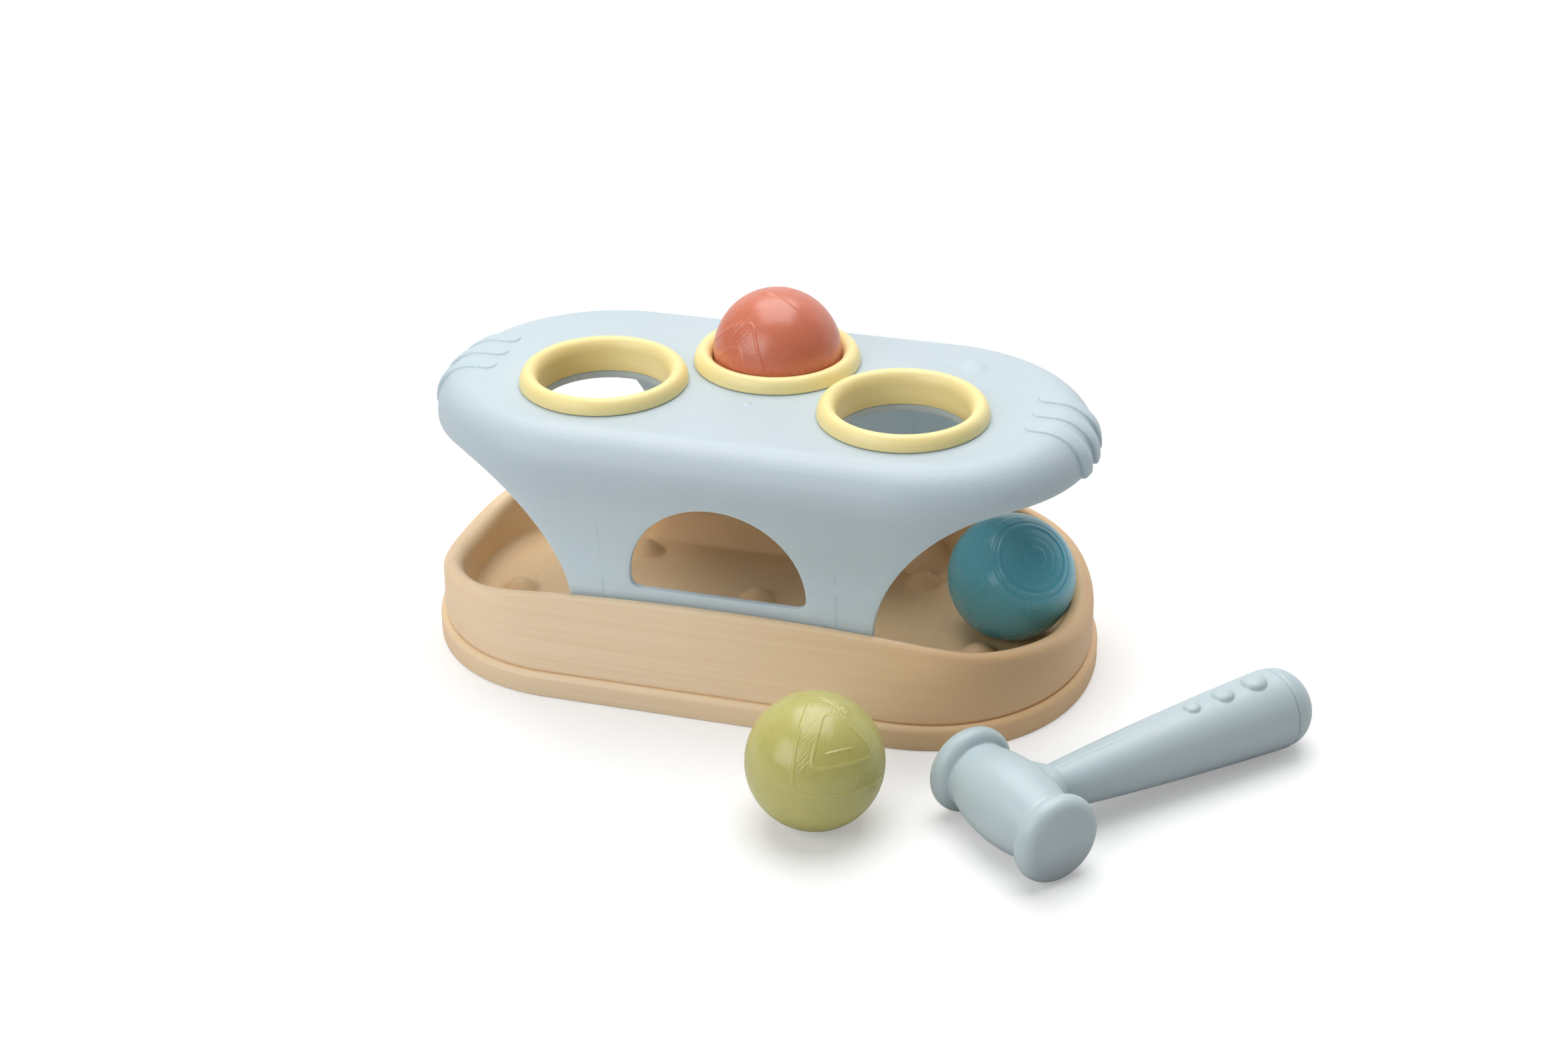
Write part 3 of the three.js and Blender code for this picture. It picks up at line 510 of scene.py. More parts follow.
def trayBody(tray):
    corner, angle, reach, sx, sy = trayStations(tray).T
    count = len(angle)
    cosine, sine = np.clip(np.cos(angle), 0, 1), np.sin(angle)

    def outline(halfLength, halfWidth, cornerStart):
        power = tray["cornerPower"]
        curved = cornerStart + (halfLength - cornerStart) * cosine ** power
        x = np.where(corner > 0, curved, reach * cornerStart)
        y = np.where(corner > 0, halfWidth * sine ** power, halfWidth)
        return sx * x, sy * y

    # the crest's height round a corner, on a smooth curve that is level at the end
    shares = tray["crestShares"]
    places = np.radians(np.arange(len(shares)) * tray["crestStep"])
    curve = np.polyfit(np.concatenate([-places[1:4], places]), np.concatenate([shares[1:4], shares]), 6)
    share = np.where(corner > 0, np.clip(np.polyval(curve, angle), 0, 1), 1.0)
    endCrest, cornerCrest, middleCrest = tray["crest"]
    crest = np.where(corner > 0, endCrest + (cornerCrest - endCrest) * share,
                     cornerCrest + (middleCrest - cornerCrest) * (1 - reach ** 2))
    endRoll, sideRoll = tray["rimRoll"]
    roll = endRoll + (sideRoll - endRoll) * share
    rimX, rimY = outline(tray["rimHalfLength"], tray["rimHalfWidth"], tray["rimCornerStart"])
    normalX = np.where(corner > 0, cosine / (tray["rimHalfLength"] - tray["rimCornerStart"]), 0)
    normalY = np.where(corner > 0, sine / tray["rimHalfWidth"], 1)
    size = np.hypot(normalX, normalY)
    normalX, normalY = sx * normalX / size, sy * normalY / size

    def level(inset, height):
        x, y = outline(tray["halfLength"] - inset, tray["halfWidth"] - inset, tray["cornerStart"])
        return np.stack([x, y, np.full(count, float(height))], 1)

    def floorLine(inset):
        return outline(tray["floorHalfLength"] - inset, tray["floorHalfWidth"] - inset, tray["cornerStart"])

    def rim(out, up):
        return np.stack([rimX + normalX * out, rimY + normalY * out, crest - roll + up], 1)

    def between(low, high, steps):   # rings from low to high, without low itself
        return [low + (high - low) * (i + 1) / steps for i in range(steps)]

    def ground(x, y, height):   # the floor's height with its bumps and the banks along both sides
        lift = np.zeros_like(x)
        for shareX, shareY in tray["bumpPlaces"]:
            away = np.hypot(x - shareX * tray["floorHalfLength"], y - shareY * tray["floorHalfWidth"])
            dome = np.clip(1 - (away / tray["bumpRadius"]) ** 2, 0, 1) ** tray["bumpPower"]
            lift = np.maximum(lift, tray["bumpHeight"] * dome)
        bank = tray["bank"]
        rise = fade(np.abs(x), *bank["halfLength"]) * fade(np.abs(y), *bank["rise"])
        return np.maximum(height + lift, height + rise * (bank["top"] - height))

    top, wall, foot, step = tray["floorTop"], tray["wall"], tray["footHeight"], tray["footStep"]
    roundX, roundZ = tray["floorRound"]
    groove, bead, footRound = tray["groove"], tray["bead"], tray["footRound"]
    rings = []
    for s in bends(tray["floorSteps"], 1.0):   # the floor, from the middle out
        halfLength, halfWidth = ((tray[key] - roundX) * s for key in ("floorHalfLength", "floorHalfWidth"))
        x, y = outline(halfLength, halfWidth, tray["cornerStart"] * s)
        rings.append(np.stack([x, y, ground(x, y, top)], 1))
    for bend in bends(8):   # the round foot of the inner wall
        x, y = floorLine(roundX * (1 - math.sin(bend)))
        rings.append(np.stack([x, y, ground(x, y, top + roundZ * (1 - math.cos(bend)))], 1))
    rings += between(rings[-1], rim(-roll, 0), 6)
    for bend in bends(16, math.pi):
        rings.append(rim(-roll * math.cos(bend), roll * math.sin(bend)))
    rings += between(rings[-1], level(step, foot + bead), 9)
    for bend in bends(6):   # the wall turns in to the groove over the foot
        height = foot + bead - (bead - tray["grooveFloor"]) * math.sin(bend)
        rings.append(level(step + groove * (1 - math.cos(bend)), height))
    for bend in bends(7, first=0):   # the round shoulder of the foot
        inset = (step + groove - tray["grooveFloor"]) * (1 - math.sin(bend))
        rings.append(level(inset, foot - tray["shoulder"] * (1 - math.cos(bend))))
    rings += between(rings[-1], level(0, footRound), 3)
    for bend in bends(3):
        rings.append(level(footRound * (1 - math.cos(bend)), footRound * (1 - math.sin(bend))))
    rings += [level(wall, 0), level(wall, foot - wall), level(step + wall, foot)]
    hollow = np.maximum(roll - wall, tray["leastHollow"])
    drop = wall + share * (endRoll - sideRoll)
    rings += [rim(hollow, -drop), rim(-hollow, -drop)]
    for inset, height in ((-wall, top + roundZ), (0, top - wall)):
        rings.append(np.stack([*floorLine(inset), np.full(count, height)], 1))
    faces = gridFaces(len(rings), count, start=1)
    middle = float(ground(np.zeros(1), np.zeros(1), top)[0])
    points = np.concatenate([[(0, 0, middle)], *rings, [(0, 0, top - wall)]])
    end = len(points) - 1
    last = 1 + (len(rings) - 1) * count
    faces += [(0, 1 + i, 1 + (i + 1) % count) for i in range(count)]
    faces += [(end, last + (i + 1) % count, last + i) for i in range(count)]
    return points, faces


def makeTray(tray):
    points, faces = trayBody(tray)
    sharp = 40
    piece = makePiece("trayBasin", points, faces, "bench", tan, ["tray"], sharp)
    hollow = tray["hollow"]
    reach, roof = hollow["halfLength"], tray["bank"]["top"] - hollow["roof"]
    for side in (-1, 1):
        y0, y1 = sorted((side * hollow["inner"], side * hollow["outer"]))
        boolean(piece, tool(*block(-reach, reach, y0, y1, hollow["below"], roof)), "DIFFERENCE")
    smooth(piece, sharp)


makeTray(trayShape)
print("tray ready")


# Bench shell

ringNodes = ("ring_left", "ring_centre", "ring_right")
bossX, bossY = middleOf("screw_back_right")[:2]

benchShape = {
    "top": 110.2, "straightHalf": 63.5, "footHalfWidth": 57.75, "low": 24.0, "draft": 0.125,
    "edgeRound": 15.5, "wall": 2.5, "rimRound": 0.55,
    "skirtHalf": 60.0, "skirtShoulder": 41.0, "eaveStart": 105.9, "eaveHeight": 93.6,
    "bends": ((60.9, 61.9), (80.2, 91.3)),
    "window": {"half": 34.5, "sill": 47.8, "spring": 52.5, "apex": 86.9, "corner": 4.5},
    "ribs": {"places": (-12, 1, 14), "half": 3.7, "proud": (0.75, 1.7), "grows": (108.0, 128.0),
             "start": 105.2, "soft": 0.14, "crown": 0.25, "sideHalf": 21.0,
             "rows": (0.3, 24.0, 0.55)},   # how far down the wall the ribs have points: from, to, gap
    "bosses": {"x": bossX, "y": bossY, "radius": 3.4, "bore": 1.6, "top": 40.0, "deep": 37.5, "bevel": 0.4,
               "steps": 40},
    "rings": [tuple(middleOf(node)[:2]) for node in ringNodes],
    "hole": 28.0, "ledge": 25.6, "ledgeTop": 102.5,
    "collarLow": 99.5, "collarOuter": 29.6, "collarSteps": 120,
    # places, radii and heights of two low domes
    "marks": ((74.8, 34.6, 7.6, 1.35), (0.0, -20.1, 2.3, 0.55)),
    "reach": 66.0,                        # radius that the round ends are unrolled with
    "unrolled": 98.0,                     # how far down the wall the grid of points goes
    "topGrid": {"half": (116.0, 51.0), "gap": 3.0, "fineFrom": 103.0, "fineTo": 115.0, "fineGap": 1.1},
}


# Half width, height and normal of the wall at a distance t down from the edge of the flat top.
def benchProfile(bench, t):
    lean = math.atan(bench["draft"])
    radius = bench["edgeRound"]
    middle = bench["top"] - radius
    centre = bench["footHalfWidth"] + (middle - bench["low"]) * bench["draft"] - radius / math.cos(lean)
    bend = np.clip(t / radius, 0, quarterTurn + lean)
    rest = np.maximum(t - radius * (quarterTurn + lean), 0)
    half = centre + radius * np.sin(bend) - rest * math.sin(lean)
    height = middle + radius * np.cos(bend) - rest * math.cos(lean)
    return half, height, np.sin(bend), np.cos(bend)


def benchPoint(bench, s, t, side):   # place and normal in the room of a point of the unrolled wall
    half, height, outward, upward = benchProfile(bench, t)
    turn = np.clip((np.abs(s) - bench["straightHalf"]) / bench["reach"], 0, quarterTurn)
    x = np.sign(s) * (np.minimum(np.abs(s), bench["straightHalf"]) + half * np.sin(turn))
    y = side * half * np.cos(turn)
    normal = np.stack([np.sign(s) * np.sin(turn) * outward, side * np.cos(turn) * outward, upward], -1)
    return np.stack([x, y, height], -1), normal


def benchRibs(bench, points, normals):   # square-edged finger ribs, thicker lower down, and two low domes
    ribs = bench["ribs"]
    x, y = np.abs(points[:, 0]), points[:, 1]
    thin, thick = ribs["proud"]
    proud = thin + (thick - thin) * fade(x, *ribs["grows"]) * fade(bench["top"] - points[:, 2], 0, 10)
    head = ribs["start"] + ribs["half"]
    lift = np.zeros(len(points))
    for place in ribs["places"]:
        away = np.hypot(np.minimum(x - head, 0), y - place) - ribs["half"]
        # the ribs' backs are a little round
        crown = 1 - ribs["crown"] * np.clip(1 + away / ribs["half"], 0, 1) ** 4
        lift = np.maximum(lift, proud * crown * (1 - fade(away, -ribs["soft"], ribs["soft"])))
    for markX, markY, radius, height in bench["marks"]:
        away = np.hypot(points[:, 0] - markX, y - markY) / radius
        lift += height * (1 - fade(away, 0.3, 1.0)) * (normals[:, 2] > 0.99)
    return points + normals * lift[:, None]


# Points along both sides of the ribs' edges: on the top as x and y, on each wall unrolled.
def ribEdges(bench):
    t = np.arange(*bench["ribs"]["rows"])
    ribs, topHalf = bench["ribs"], benchProfile(bench, 0.0)[0]
    half = benchProfile(bench, t)[0]
    head, straight = ribs["start"] + ribs["half"], bench["straightHalf"]
    bow = np.radians(np.arange(93, 268, 6))
    onTop, onWall = [], {-1: [], 1: []}
    for place in ribs["places"]:
        for past in (-1.2, -ribs["soft"], ribs["soft"], 0.6):
            reach = ribs["half"] + past
            onTop.append(np.stack([head + reach * np.cos(bow), place + reach * np.sin(bow)], 1))
            for y in (place - reach, place + reach):
                along = np.arange(head, straight + math.sqrt(topHalf ** 2 - y * y) - 0.1, 0.5)
                onTop.append(np.stack([along, np.full(len(along), y)], 1))
                turn = np.arccos(abs(y) / half)
                onWall[-1 if y < 0 else 1].append(np.stack([straight + bench["reach"] * turn, t], 1))

    def both(rows):   # at the left end too
        return np.concatenate([np.concatenate(rows), np.concatenate(rows) * [-1, 1]])

    return both(onTop), {side: both(rows) for side, rows in onWall.items()}


def downTo(bench, heights):   # distances down the wall for given heights
    t = np.linspace(0, 100, 4001)
    level = benchProfile(bench, t)[1]
    return np.interp(-np.asarray(heights, float), -level, t)


def evenly(line, gap):   # the same line with points about gap apart
    line = np.asarray(line, float)
    length = np.concatenate([[0], np.cumsum(np.linalg.norm(np.diff(line, axis=0), axis=1))])
    places = np.linspace(0, length[-1], max(2, int(round(length[-1] / gap)) + 1))
    return np.stack([np.interp(places, length, line[:, k]) for k in range(2)], 1)


def moved(line, distance, closed):   # the line shifted to its left
    line = np.asarray(line, float)
    if closed:
        before, after = np.roll(line, 1, 0), np.roll(line, -1, 0)
    else:
        before, after = np.vstack([line[:1], line[:-1]]), np.vstack([line[1:], line[-1:]])
    first, second = line - before, after - line
    first = np.where(np.linalg.norm(first, axis=1)[:, None] > 0, first, second)
    second = np.where(np.linalg.norm(second, axis=1)[:, None] > 0, second, first)
    left = [np.stack([-v[:, 1], v[:, 0]], 1) / np.linalg.norm(v, axis=1)[:, None] for v in (first, second)]
    middle = left[0] + left[1]
    middle /= np.linalg.norm(middle, axis=1)[:, None]
    reach = distance / np.clip((middle * left[0]).sum(1), 0.5, 1)
    return line + middle * reach[:, None]


def inside(polygon, points):
    x, y = points[:, 0], points[:, 1]
    odd = np.zeros(len(points), bool)
    for (x0, y0), (x1, y1) in zip(polygon, np.roll(polygon, -1, 0)):
        if y0 != y1:
            odd ^= ((y0 > y) != (y1 > y)) & (x < (x1 - x0) * (y - y0) / (y1 - y0) + x0)
    return odd


def insideWithHoles(loops, points):   # inside the first loop and outside the others
    found = inside(loops[0], points)
    for hole in loops[1:]:
        found &= ~inside(hole, points)
    return found


def filled(outer, holes, extra, gap):   # triangles that fill a flat shape with holes, through extra points
    loops = [np.asarray(outer, float)] + [np.asarray(hole, float) for hole in holes]
    rims = np.concatenate(loops)
    extra = extra[insideWithHoles(loops, extra)]
    clear = np.ones(len(extra), bool)
    for i in range(0, len(extra), 400):   # in parts, to save memory
        part = extra[i:i + 400]
        apart = np.linalg.norm(part[:, None] - rims[None], axis=2)
        clear[i:i + 400] = (apart > gap(part)[:, None]).all(1)
    edges, start = [], 0
    for loop in loops:
        edges += [(start + i, start + (i + 1) % len(loop)) for i in range(len(loop))]
        start += len(loop)
    given = [Vector(p) for p in np.concatenate([rims, extra[clear]])]
    points, _, faces, _, _, _ = delaunay_2d_cdt(given, edges, [], 0, 1e-7)
    points, faces = np.array([tuple(p) for p in points]), np.array(faces)
    return points, faces[insideWithHoles(loops, points[faces].mean(1))]


def withEdges(grid, edges):   # the edge points, and those of the grid that stand clear of them
    clear = np.ones(len(grid), bool)
    for i in range(0, len(edges), 300):   # in parts, to save memory
        part = edges[i:i + 300]
        near = (np.abs(grid - part.mean(0)) < np.ptp(part, 0) / 2 + 1).all(1) & clear
        apart = np.linalg.norm(grid[near][:, None] - part[None], axis=2).min(1, initial=9.0)
        clear[np.flatnonzero(near)[apart < 0.33]] = False
    return np.concatenate([grid[clear], edges])


def lowerEdge(bench):   # the wall's lower edge, from the left end round the front to the right end, unrolled
    t = np.linspace(0, 1, 60)[:, None]
    start, stop = (bench["skirtHalf"], bench["skirtShoulder"]), (bench["eaveStart"], bench["eaveHeight"])
    p = [np.array(end) for end in (start, *bench["bends"], stop)]
    bend = (1 - t) ** 3 * p[0] + 3 * (1 - t) ** 2 * t * p[1] + 3 * (1 - t) * t ** 2 * p[2] + t ** 3 * p[3]
    down = downTo(bench, bend[:, 1])
    half = benchProfile(bench, down)[0]
    past = bend[:, 0] - bench["straightHalf"]   # how far the curve is past the start of the round end
    turn = np.arcsin(np.clip(past / half, 0, 1))
    s = np.where(past > 0, bench["straightHalf"] + bench["reach"] * turn, bend[:, 0])
    edge = np.stack([s, down], 1)
    eave = downTo(bench, [bench["eaveHeight"]])[0]
    last = bench["straightHalf"] + bench["reach"] * quarterTurn
    skirtLow = downTo(bench, [bench["low"]])[0]
    corner = (bench["skirtHalf"], skirtLow)
    right = np.concatenate([evenly([(0, skirtLow), corner], 3), evenly([corner, edge[0]], 2)[1:],
                            evenly(edge, 1.0)[1:], evenly([edge[-1], (last, eave)], 0.3)[1:]])
    left = right[::-1] * [-1, 1]
    return np.concatenate([left[:-1], right])


def windowEdge(bench):   # the window's outline, unrolled
    window = bench["window"]
    t = np.linspace(0, 1, 12)[:, None]
    low = np.array([window["half"] - window["corner"], window["sill"]])
    bendPoint = np.array([window["half"], window["sill"]])
    high = np.array([window["half"], window["spring"]])
    corner = (1 - t) ** 2 * low + 2 * (1 - t) * t * bendPoint + t ** 2 * high
    angles = np.linspace(0, quarterTurn, 60)[1:]
    rise = window["apex"] - window["spring"]
    crown = np.stack([window["half"] * np.cos(angles), window["spring"] + rise * np.sin(angles)], 1)
    right = np.concatenate([evenly([(0, window["sill"]), tuple(low)], 2.0)[:-1], corner, crown])
    loop = np.concatenate([right, (right[1:-1] * [-1, 1])[::-1]])
    loop = evenly(np.vstack([loop, loop[:1]]), 1.0)[:-1]
    return np.stack([loop[:, 0], downTo(bench, loop[:, 1])], 1)


def rimStrip(outer, normals, away, radius, inner, steps=4):   # rings that round over the edge of a wall
    rings = []
    for bend in bends(steps, first=0):
        rings.append(outer + away * radius * math.sin(bend) - normals * radius * (1 - math.cos(bend)))
    for bend in bends(steps, first=0)[::-1]:
        rings.append(inner + away * radius * math.sin(bend) + normals * radius * (1 - math.cos(bend)))
    return rings


def grid(across, up):   # the points of a flat grid
    return np.stack(np.meshgrid(across, up), -1).reshape(-1, 2)


def benchWalls(bench, sList):   # the walls with their ribs, inside and outside, and their rounded rims
    parts = []
    wall, radius = bench["wall"], bench["rimRound"]
    ribAt, last = sList["ribs"], sList["last"]
    roundEnd = bench["edgeRound"] * (quarterTurn + math.atan(bench["draft"]))
    tList = np.concatenate([np.linspace(0, roundEnd, 44), np.linspace(roundEnd, bench["unrolled"], 25)[1:]])
    edge = lowerEdge(bench)
    edgeIn = moved(edge, -radius, False)   # towards the wall, where t is smaller
    if edgeIn[len(edge) // 2, 1] > edge[len(edge) // 2, 1]:
        edgeIn = moved(edge, radius, False)
    edgeIn[0, 0], edgeIn[-1, 0] = edge[0, 0], edge[-1, 0]
    column = tList[(tList > 0) & (tList < edgeIn[0, 1] - 0.3)]
    window = windowEdge(bench)
    windowIn = moved(window, radius, True)
    if np.ptp(windowIn[:, 0]) < np.ptp(window[:, 0]):
        windowIn = moved(window, -radius, True)
    loose = grid(sList["all"], tList[1:])
    wallEdges = ribEdges(bench)[1]
    outline = np.concatenate([np.column_stack([sList["all"], np.zeros(len(sList["all"]))]),
                              np.column_stack([np.full(len(column), last), column]), edgeIn[::-1],
                              np.column_stack([np.full(len(column), -last), column[::-1]])])

    def room(p):   # how far the loose points stay from the outline
        return np.where((np.abs(p[:, 0]) > ribAt) & (p[:, 1] < roundEnd + 1), 0.2, 0.55)

    for side, holes in ((-1, [windowIn]), (1, [])):
        flat, faces = filled(outline, holes, withEdges(loose, wallEdges[side]), room)
        place, normal = benchPoint(bench, flat[:, 0], flat[:, 1], side)
        parts += [(benchRibs(bench, place, normal), faces), (place - normal * wall, faces)]
    lines = ((-1, edge, edgeIn), (1, edge[::-1][1:-1], edgeIn[::-1][1:-1]))
    loops = []
    for side, line, lineIn in lines:
        loops.append((*benchPoint(bench, *lineIn.T, side), benchPoint(bench, *line.T, side)[0]))
    lower = [np.concatenate([a, c]) for a, c in zip(*loops)]
    arch = (*benchPoint(bench, *windowIn.T, -1), benchPoint(bench, *window.T, -1)[0])
    for place, up, goal in (lower, arch):
        away = goal - place
        away /= np.linalg.norm(away, axis=1)[:, None]
        rings = rimStrip(benchRibs(bench, place, up), up, away, radius, place - up * wall)
        parts.append((np.concatenate(rings), gridFaces(len(rings), len(place))))
    return parts


def benchTop(bench, sList):   # the flat top, above and below, with the collars that hold the grip rings
    parts = []
    front, _ = benchPoint(bench, sList["all"], np.zeros(len(sList["all"])), -1)
    back, _ = benchPoint(bench, sList["all"][::-1][1:-1], np.zeros(len(sList["all"]) - 2), 1)
    border = np.concatenate([front, back])[:, :2]
    net, ribsHalf = bench["topGrid"], bench["ribs"]["sideHalf"]
    gap, fineGap, ribsFrom = net["gap"], net["fineGap"], net["fineFrom"]
    loose = grid(*(np.arange(-half, half + 0.1, gap) for half in net["half"]))
    loose = loose[~((np.abs(loose[:, 0]) > ribsFrom) & (np.abs(loose[:, 1]) < ribsHalf))]
    fine = grid(np.arange(ribsFrom, net["fineTo"], fineGap), np.arange(-ribsHalf, ribsHalf + 0.1, fineGap))
    domes = []
    for x, y, radius, _ in bench["marks"]:
        row = np.arange(-radius, radius + 0.1, radius / 9)
        domes.append(grid(row + x, row + y))
        loose = loose[np.hypot(loose[:, 0] - x, loose[:, 1] - y) > radius * 1.3]
    loose = withEdges(np.concatenate([loose, fine, fine * [-1, 1], *domes]), ribEdges(bench)[0])
    steps = bench["collarSteps"]
    ring = circle(steps)

    def room(p):
        return np.where(np.abs(p[:, 0]) > ribsFrom - 0.5, 0.2, 0.9)

    underside = bench["top"] - bench["wall"]
    layers = ((bench["hole"], bench["top"], True), (bench["collarOuter"], underside, False))
    for radius, height, ribbed in layers:
        flat, faces = filled(border, [ring * radius + place for place in bench["rings"]], loose, room)
        place = np.column_stack([flat, np.full(len(flat), height)])
        if ribbed:
            place = benchRibs(bench, place, np.tile([0, 0, 1.0], (len(place), 1)))
        parts.append((place, faces))
    hole, ledge, outer = bench["hole"], bench["ledge"], bench["collarOuter"]
    ledgeTop, low = bench["ledgeTop"], bench["collarLow"]
    profile = ((hole, bench["top"]), (hole, ledgeTop + 0.4), (hole - 0.12, ledgeTop + 0.12),
               (hole - 0.4, ledgeTop), (ledge + 0.5, ledgeTop), (ledge + 0.15, ledgeTop - 0.15),
               (ledge, ledgeTop - 0.5), (ledge, low + 0.4), (ledge + 0.4, low),
               (outer - 0.5, low), (outer, low + 0.5), (outer, underside))
    points, faces = lathe(profile, steps, closed=False)
    return parts + [(points + [*place, 0], faces) for place in bench["rings"]]


def benchBosses(bench):
    boss, low = bench["bosses"], bench["low"]
    profile = ((boss["radius"], low + boss["bevel"]), (boss["radius"], boss["top"]), (0, boss["top"]),
               (0, boss["deep"]), (boss["bore"], boss["deep"]), (boss["bore"], low),
               (boss["radius"] - boss["bevel"], low))
    points, faces = lathe(profile, boss["steps"])
    return [(points + [x, y, 0], faces) for x in (-boss["x"], boss["x"]) for y in (-boss["y"], boss["y"])]


def benchShell(bench):
    last = bench["straightHalf"] + bench["reach"] * quarterTurn
    ribAt = bench["straightHalf"] + bench["reach"] * math.acos(bench["ribs"]["sideHalf"] / bench["reach"])
    spans = (np.linspace(0, bench["straightHalf"], 22), np.linspace(bench["straightHalf"], ribAt, 34)[1:],
             np.linspace(ribAt, last, 24)[1:])
    right = np.concatenate(spans)
    sList = {"all": np.concatenate([-right[:0:-1], right]), "ribs": ribAt, "last": last}
    return joined(benchWalls(bench, sList) + benchTop(bench, sList) + benchBosses(bench))


points, faces = benchShell(benchShape)
makePiece("benchShell", points, faces, "bench", blue, ["bench_shell"], sharp=50)
print("bench ready:", len(points))


# Grip rings

gripShape = {
    "low": 102.8, "base": 110.45, "crest": 116.1, "throat": 25.2, "crestRadius": 29.0, "flange": 32.7,
    "sleeve": 27.7, "bevel": 0.4, "smallBevel": 0.3, "neck": 3.0, "steps": 144,
}


def gripProfile(grip):
    low, base, throat, crest = grip["low"], grip["base"], grip["throat"], grip["crestRadius"]
    flange, sleeve, bevel, small = grip["flange"], grip["sleeve"], grip["bevel"], grip["smallBevel"]
    inner, outer, rise = crest - throat, flange - crest, grip["crest"] - base
    angles = np.linspace(0, quarterTurn, 17)
    rows = [(throat + small, low), (throat, low + bevel), (throat, base - grip["neck"]), (throat, base - 0.6)]
    rows += [(crest - inner * math.cos(v), base + rise * math.sin(v)) for v in angles]
    rows += [(crest + outer * math.sin(v), base + rise * math.cos(v)) for v in angles[1:-1]]
    return rows + [(flange, base + 0.25), (flange - small, base), (sleeve, base), (sleeve, low + bevel),
                   (sleeve - small, low)]


for name, node in zip(("gripRingLeft", "gripRingCentre", "gripRingRight"), ringNodes):
    points, faces = lathe(gripProfile(gripShape), gripShape["steps"])
    place = [*middleOf(node)[:2], 0]
    makePiece(name, points + place, faces, "bench", yellow, [node], sharp=60)
print("grip rings ready")


# Balls

ballShape = {
    "radius": 25.0, "wall": 2.0, "seam": 0.15, "rows": 110, "innerRows": 24, "columns": 380,
    "weldDip": 0.12, "weldReach": 0.35,
}


def ballHalf(ball, relief):   # the half above its weld, with the relief that stands on it
    around = circle(ball["columns"])

    def ways(radius, rows):   # the angle of each ring over the weld, and its directions
        weld = math.asin(ball["seam"] / radius)
        angles = weld + np.linspace(0, 1, rows + 1) * (quarterTurn - weld)
        up = np.ones(len(around))
        return [(a, np.column_stack([math.cos(a) * around, math.sin(a) * up])) for a in angles]

    outer = ways(ball["radius"], ball["rows"])
    rings = []
    for angle, way in outer:
        overWeld = (angle - outer[0][0]) * ball["radius"]
        dip = ball["weldDip"] * (1 - fade(overWeld, 0, ball["weldReach"]))
        rings.append(way * (ball["radius"] + relief(way) - dip)[:, None])
    bore = ball["radius"] - ball["wall"]
    rows = rings[::-1] + [bore * way for _, way in ways(bore, ball["innerRows"])]
    return np.concatenate(rows), gridFaces(len(rows), ball["columns"])


def makeBall(tint, halves, facing, finish, relief):
    nodes = [f"{tint}_ball_{half.lower()}_half" for half in halves]
    body, slot = f"{tint}_ball", f"{tint}_plastic"
    where = Matrix.Translation(Vector(middleOf(*nodes)) * mm)
    turned = Vector((0, 0, 1)).rotation_difference(Vector(facing).normalized()).to_matrix()
    for index, (half, node) in enumerate(zip(halves, nodes)):
        toRoom = np.array(turned @ Matrix.Rotation(math.pi * index, 3, "X"))
        points, faces = ballHalf(ballShape, lambda way: relief(way @ toRoom.T))
        points = points @ toRoom.T
        points[:, 2] = np.clip(points[:, 2], -ballShape["radius"], ballShape["radius"])
        makePiece(f"{tint}Ball{half}", points, faces, body, finish, [node], sharp=50, place=where)


def ridge(distance, width, height):   # a round-backed line at distance 0
    return height * (1 - fade(np.abs(distance), width * 0.12, width * 0.5))


def unit(rows):
    rows = np.asarray(rows, float)
    return rows / np.linalg.norm(rows, axis=-1, keepdims=True)


def apart(way, middle):   # the angle between directions and a middle one
    return np.arccos(np.clip(way @ unit(middle), -1, 1))


def curved(points, steps=7):   # a smooth line of directions through a few of them
    rows = unit(points)
    if len(rows) == 2:
        share = np.linspace(0, 1, steps)[:, None]
        return unit(rows[0] * (1 - share) + rows[1] * share)
    places = np.arange(len(rows))
    fit = [np.polyfit(places, rows[:, k], len(rows) - 1) for k in range(3)]
    fine = np.linspace(0, len(rows) - 1, steps * (len(rows) - 1))
    return unit(np.stack([np.polyval(f, fine) for f in fit], 1))


def roundCornered(points, share):   # a closed line of directions with rounded corners
    rows = unit(points)
    line = []
    for before, here, after in zip(np.roll(rows, 1, 0), rows, np.roll(rows, -1, 0)):
        start, stop = here + (before - here) * share, here + (after - here) * share
        line += [(1 - t) ** 2 * start + 2 * (1 - t) * t * here + t ** 2 * stop for t in np.linspace(0, 1, 7)]
    line.append(line[0])
    return unit(line)


def fromLine(way, line, radius):   # millimetres on the skin from a line of directions
    nearest = np.full(len(way), np.inf)
    for a, c in zip(line[:-1], line[1:]):
        normal = np.cross(a, c)
        if np.linalg.norm(normal) < 1e-9:
            continue
        normal /= np.linalg.norm(normal)
        between = ((np.cross(normal, a) * way).sum(1) > 0) & ((np.cross(c, normal) * way).sum(1) > 0)
        side = np.abs(np.arcsin(np.clip(way @ normal, -1, 1)))
        ends = np.arccos(np.clip(np.maximum(way @ a, way @ c), -1, 1))
        nearest = np.minimum(nearest, np.where(between, side, ends))
    return nearest * radius


def flatten(way, middle):   # directions as flat places about a middle one
    middle = unit(middle)
    across = unit(np.cross((0, 0, 1), middle))
    flat = np.stack([way @ across, way @ np.cross(middle, across)], 1)
    return flat / np.maximum(np.linalg.norm(flat, axis=1), 1e-9)[:, None] * apart(way, middle)[:, None]


def within(way, middle, line):   # which directions lie inside a closed line
    near = way @ unit(middle) > -0.2
    found = np.zeros(len(way), bool)
    found[near] = inside(flatten(line, middle), flatten(way[near], middle))
    return found


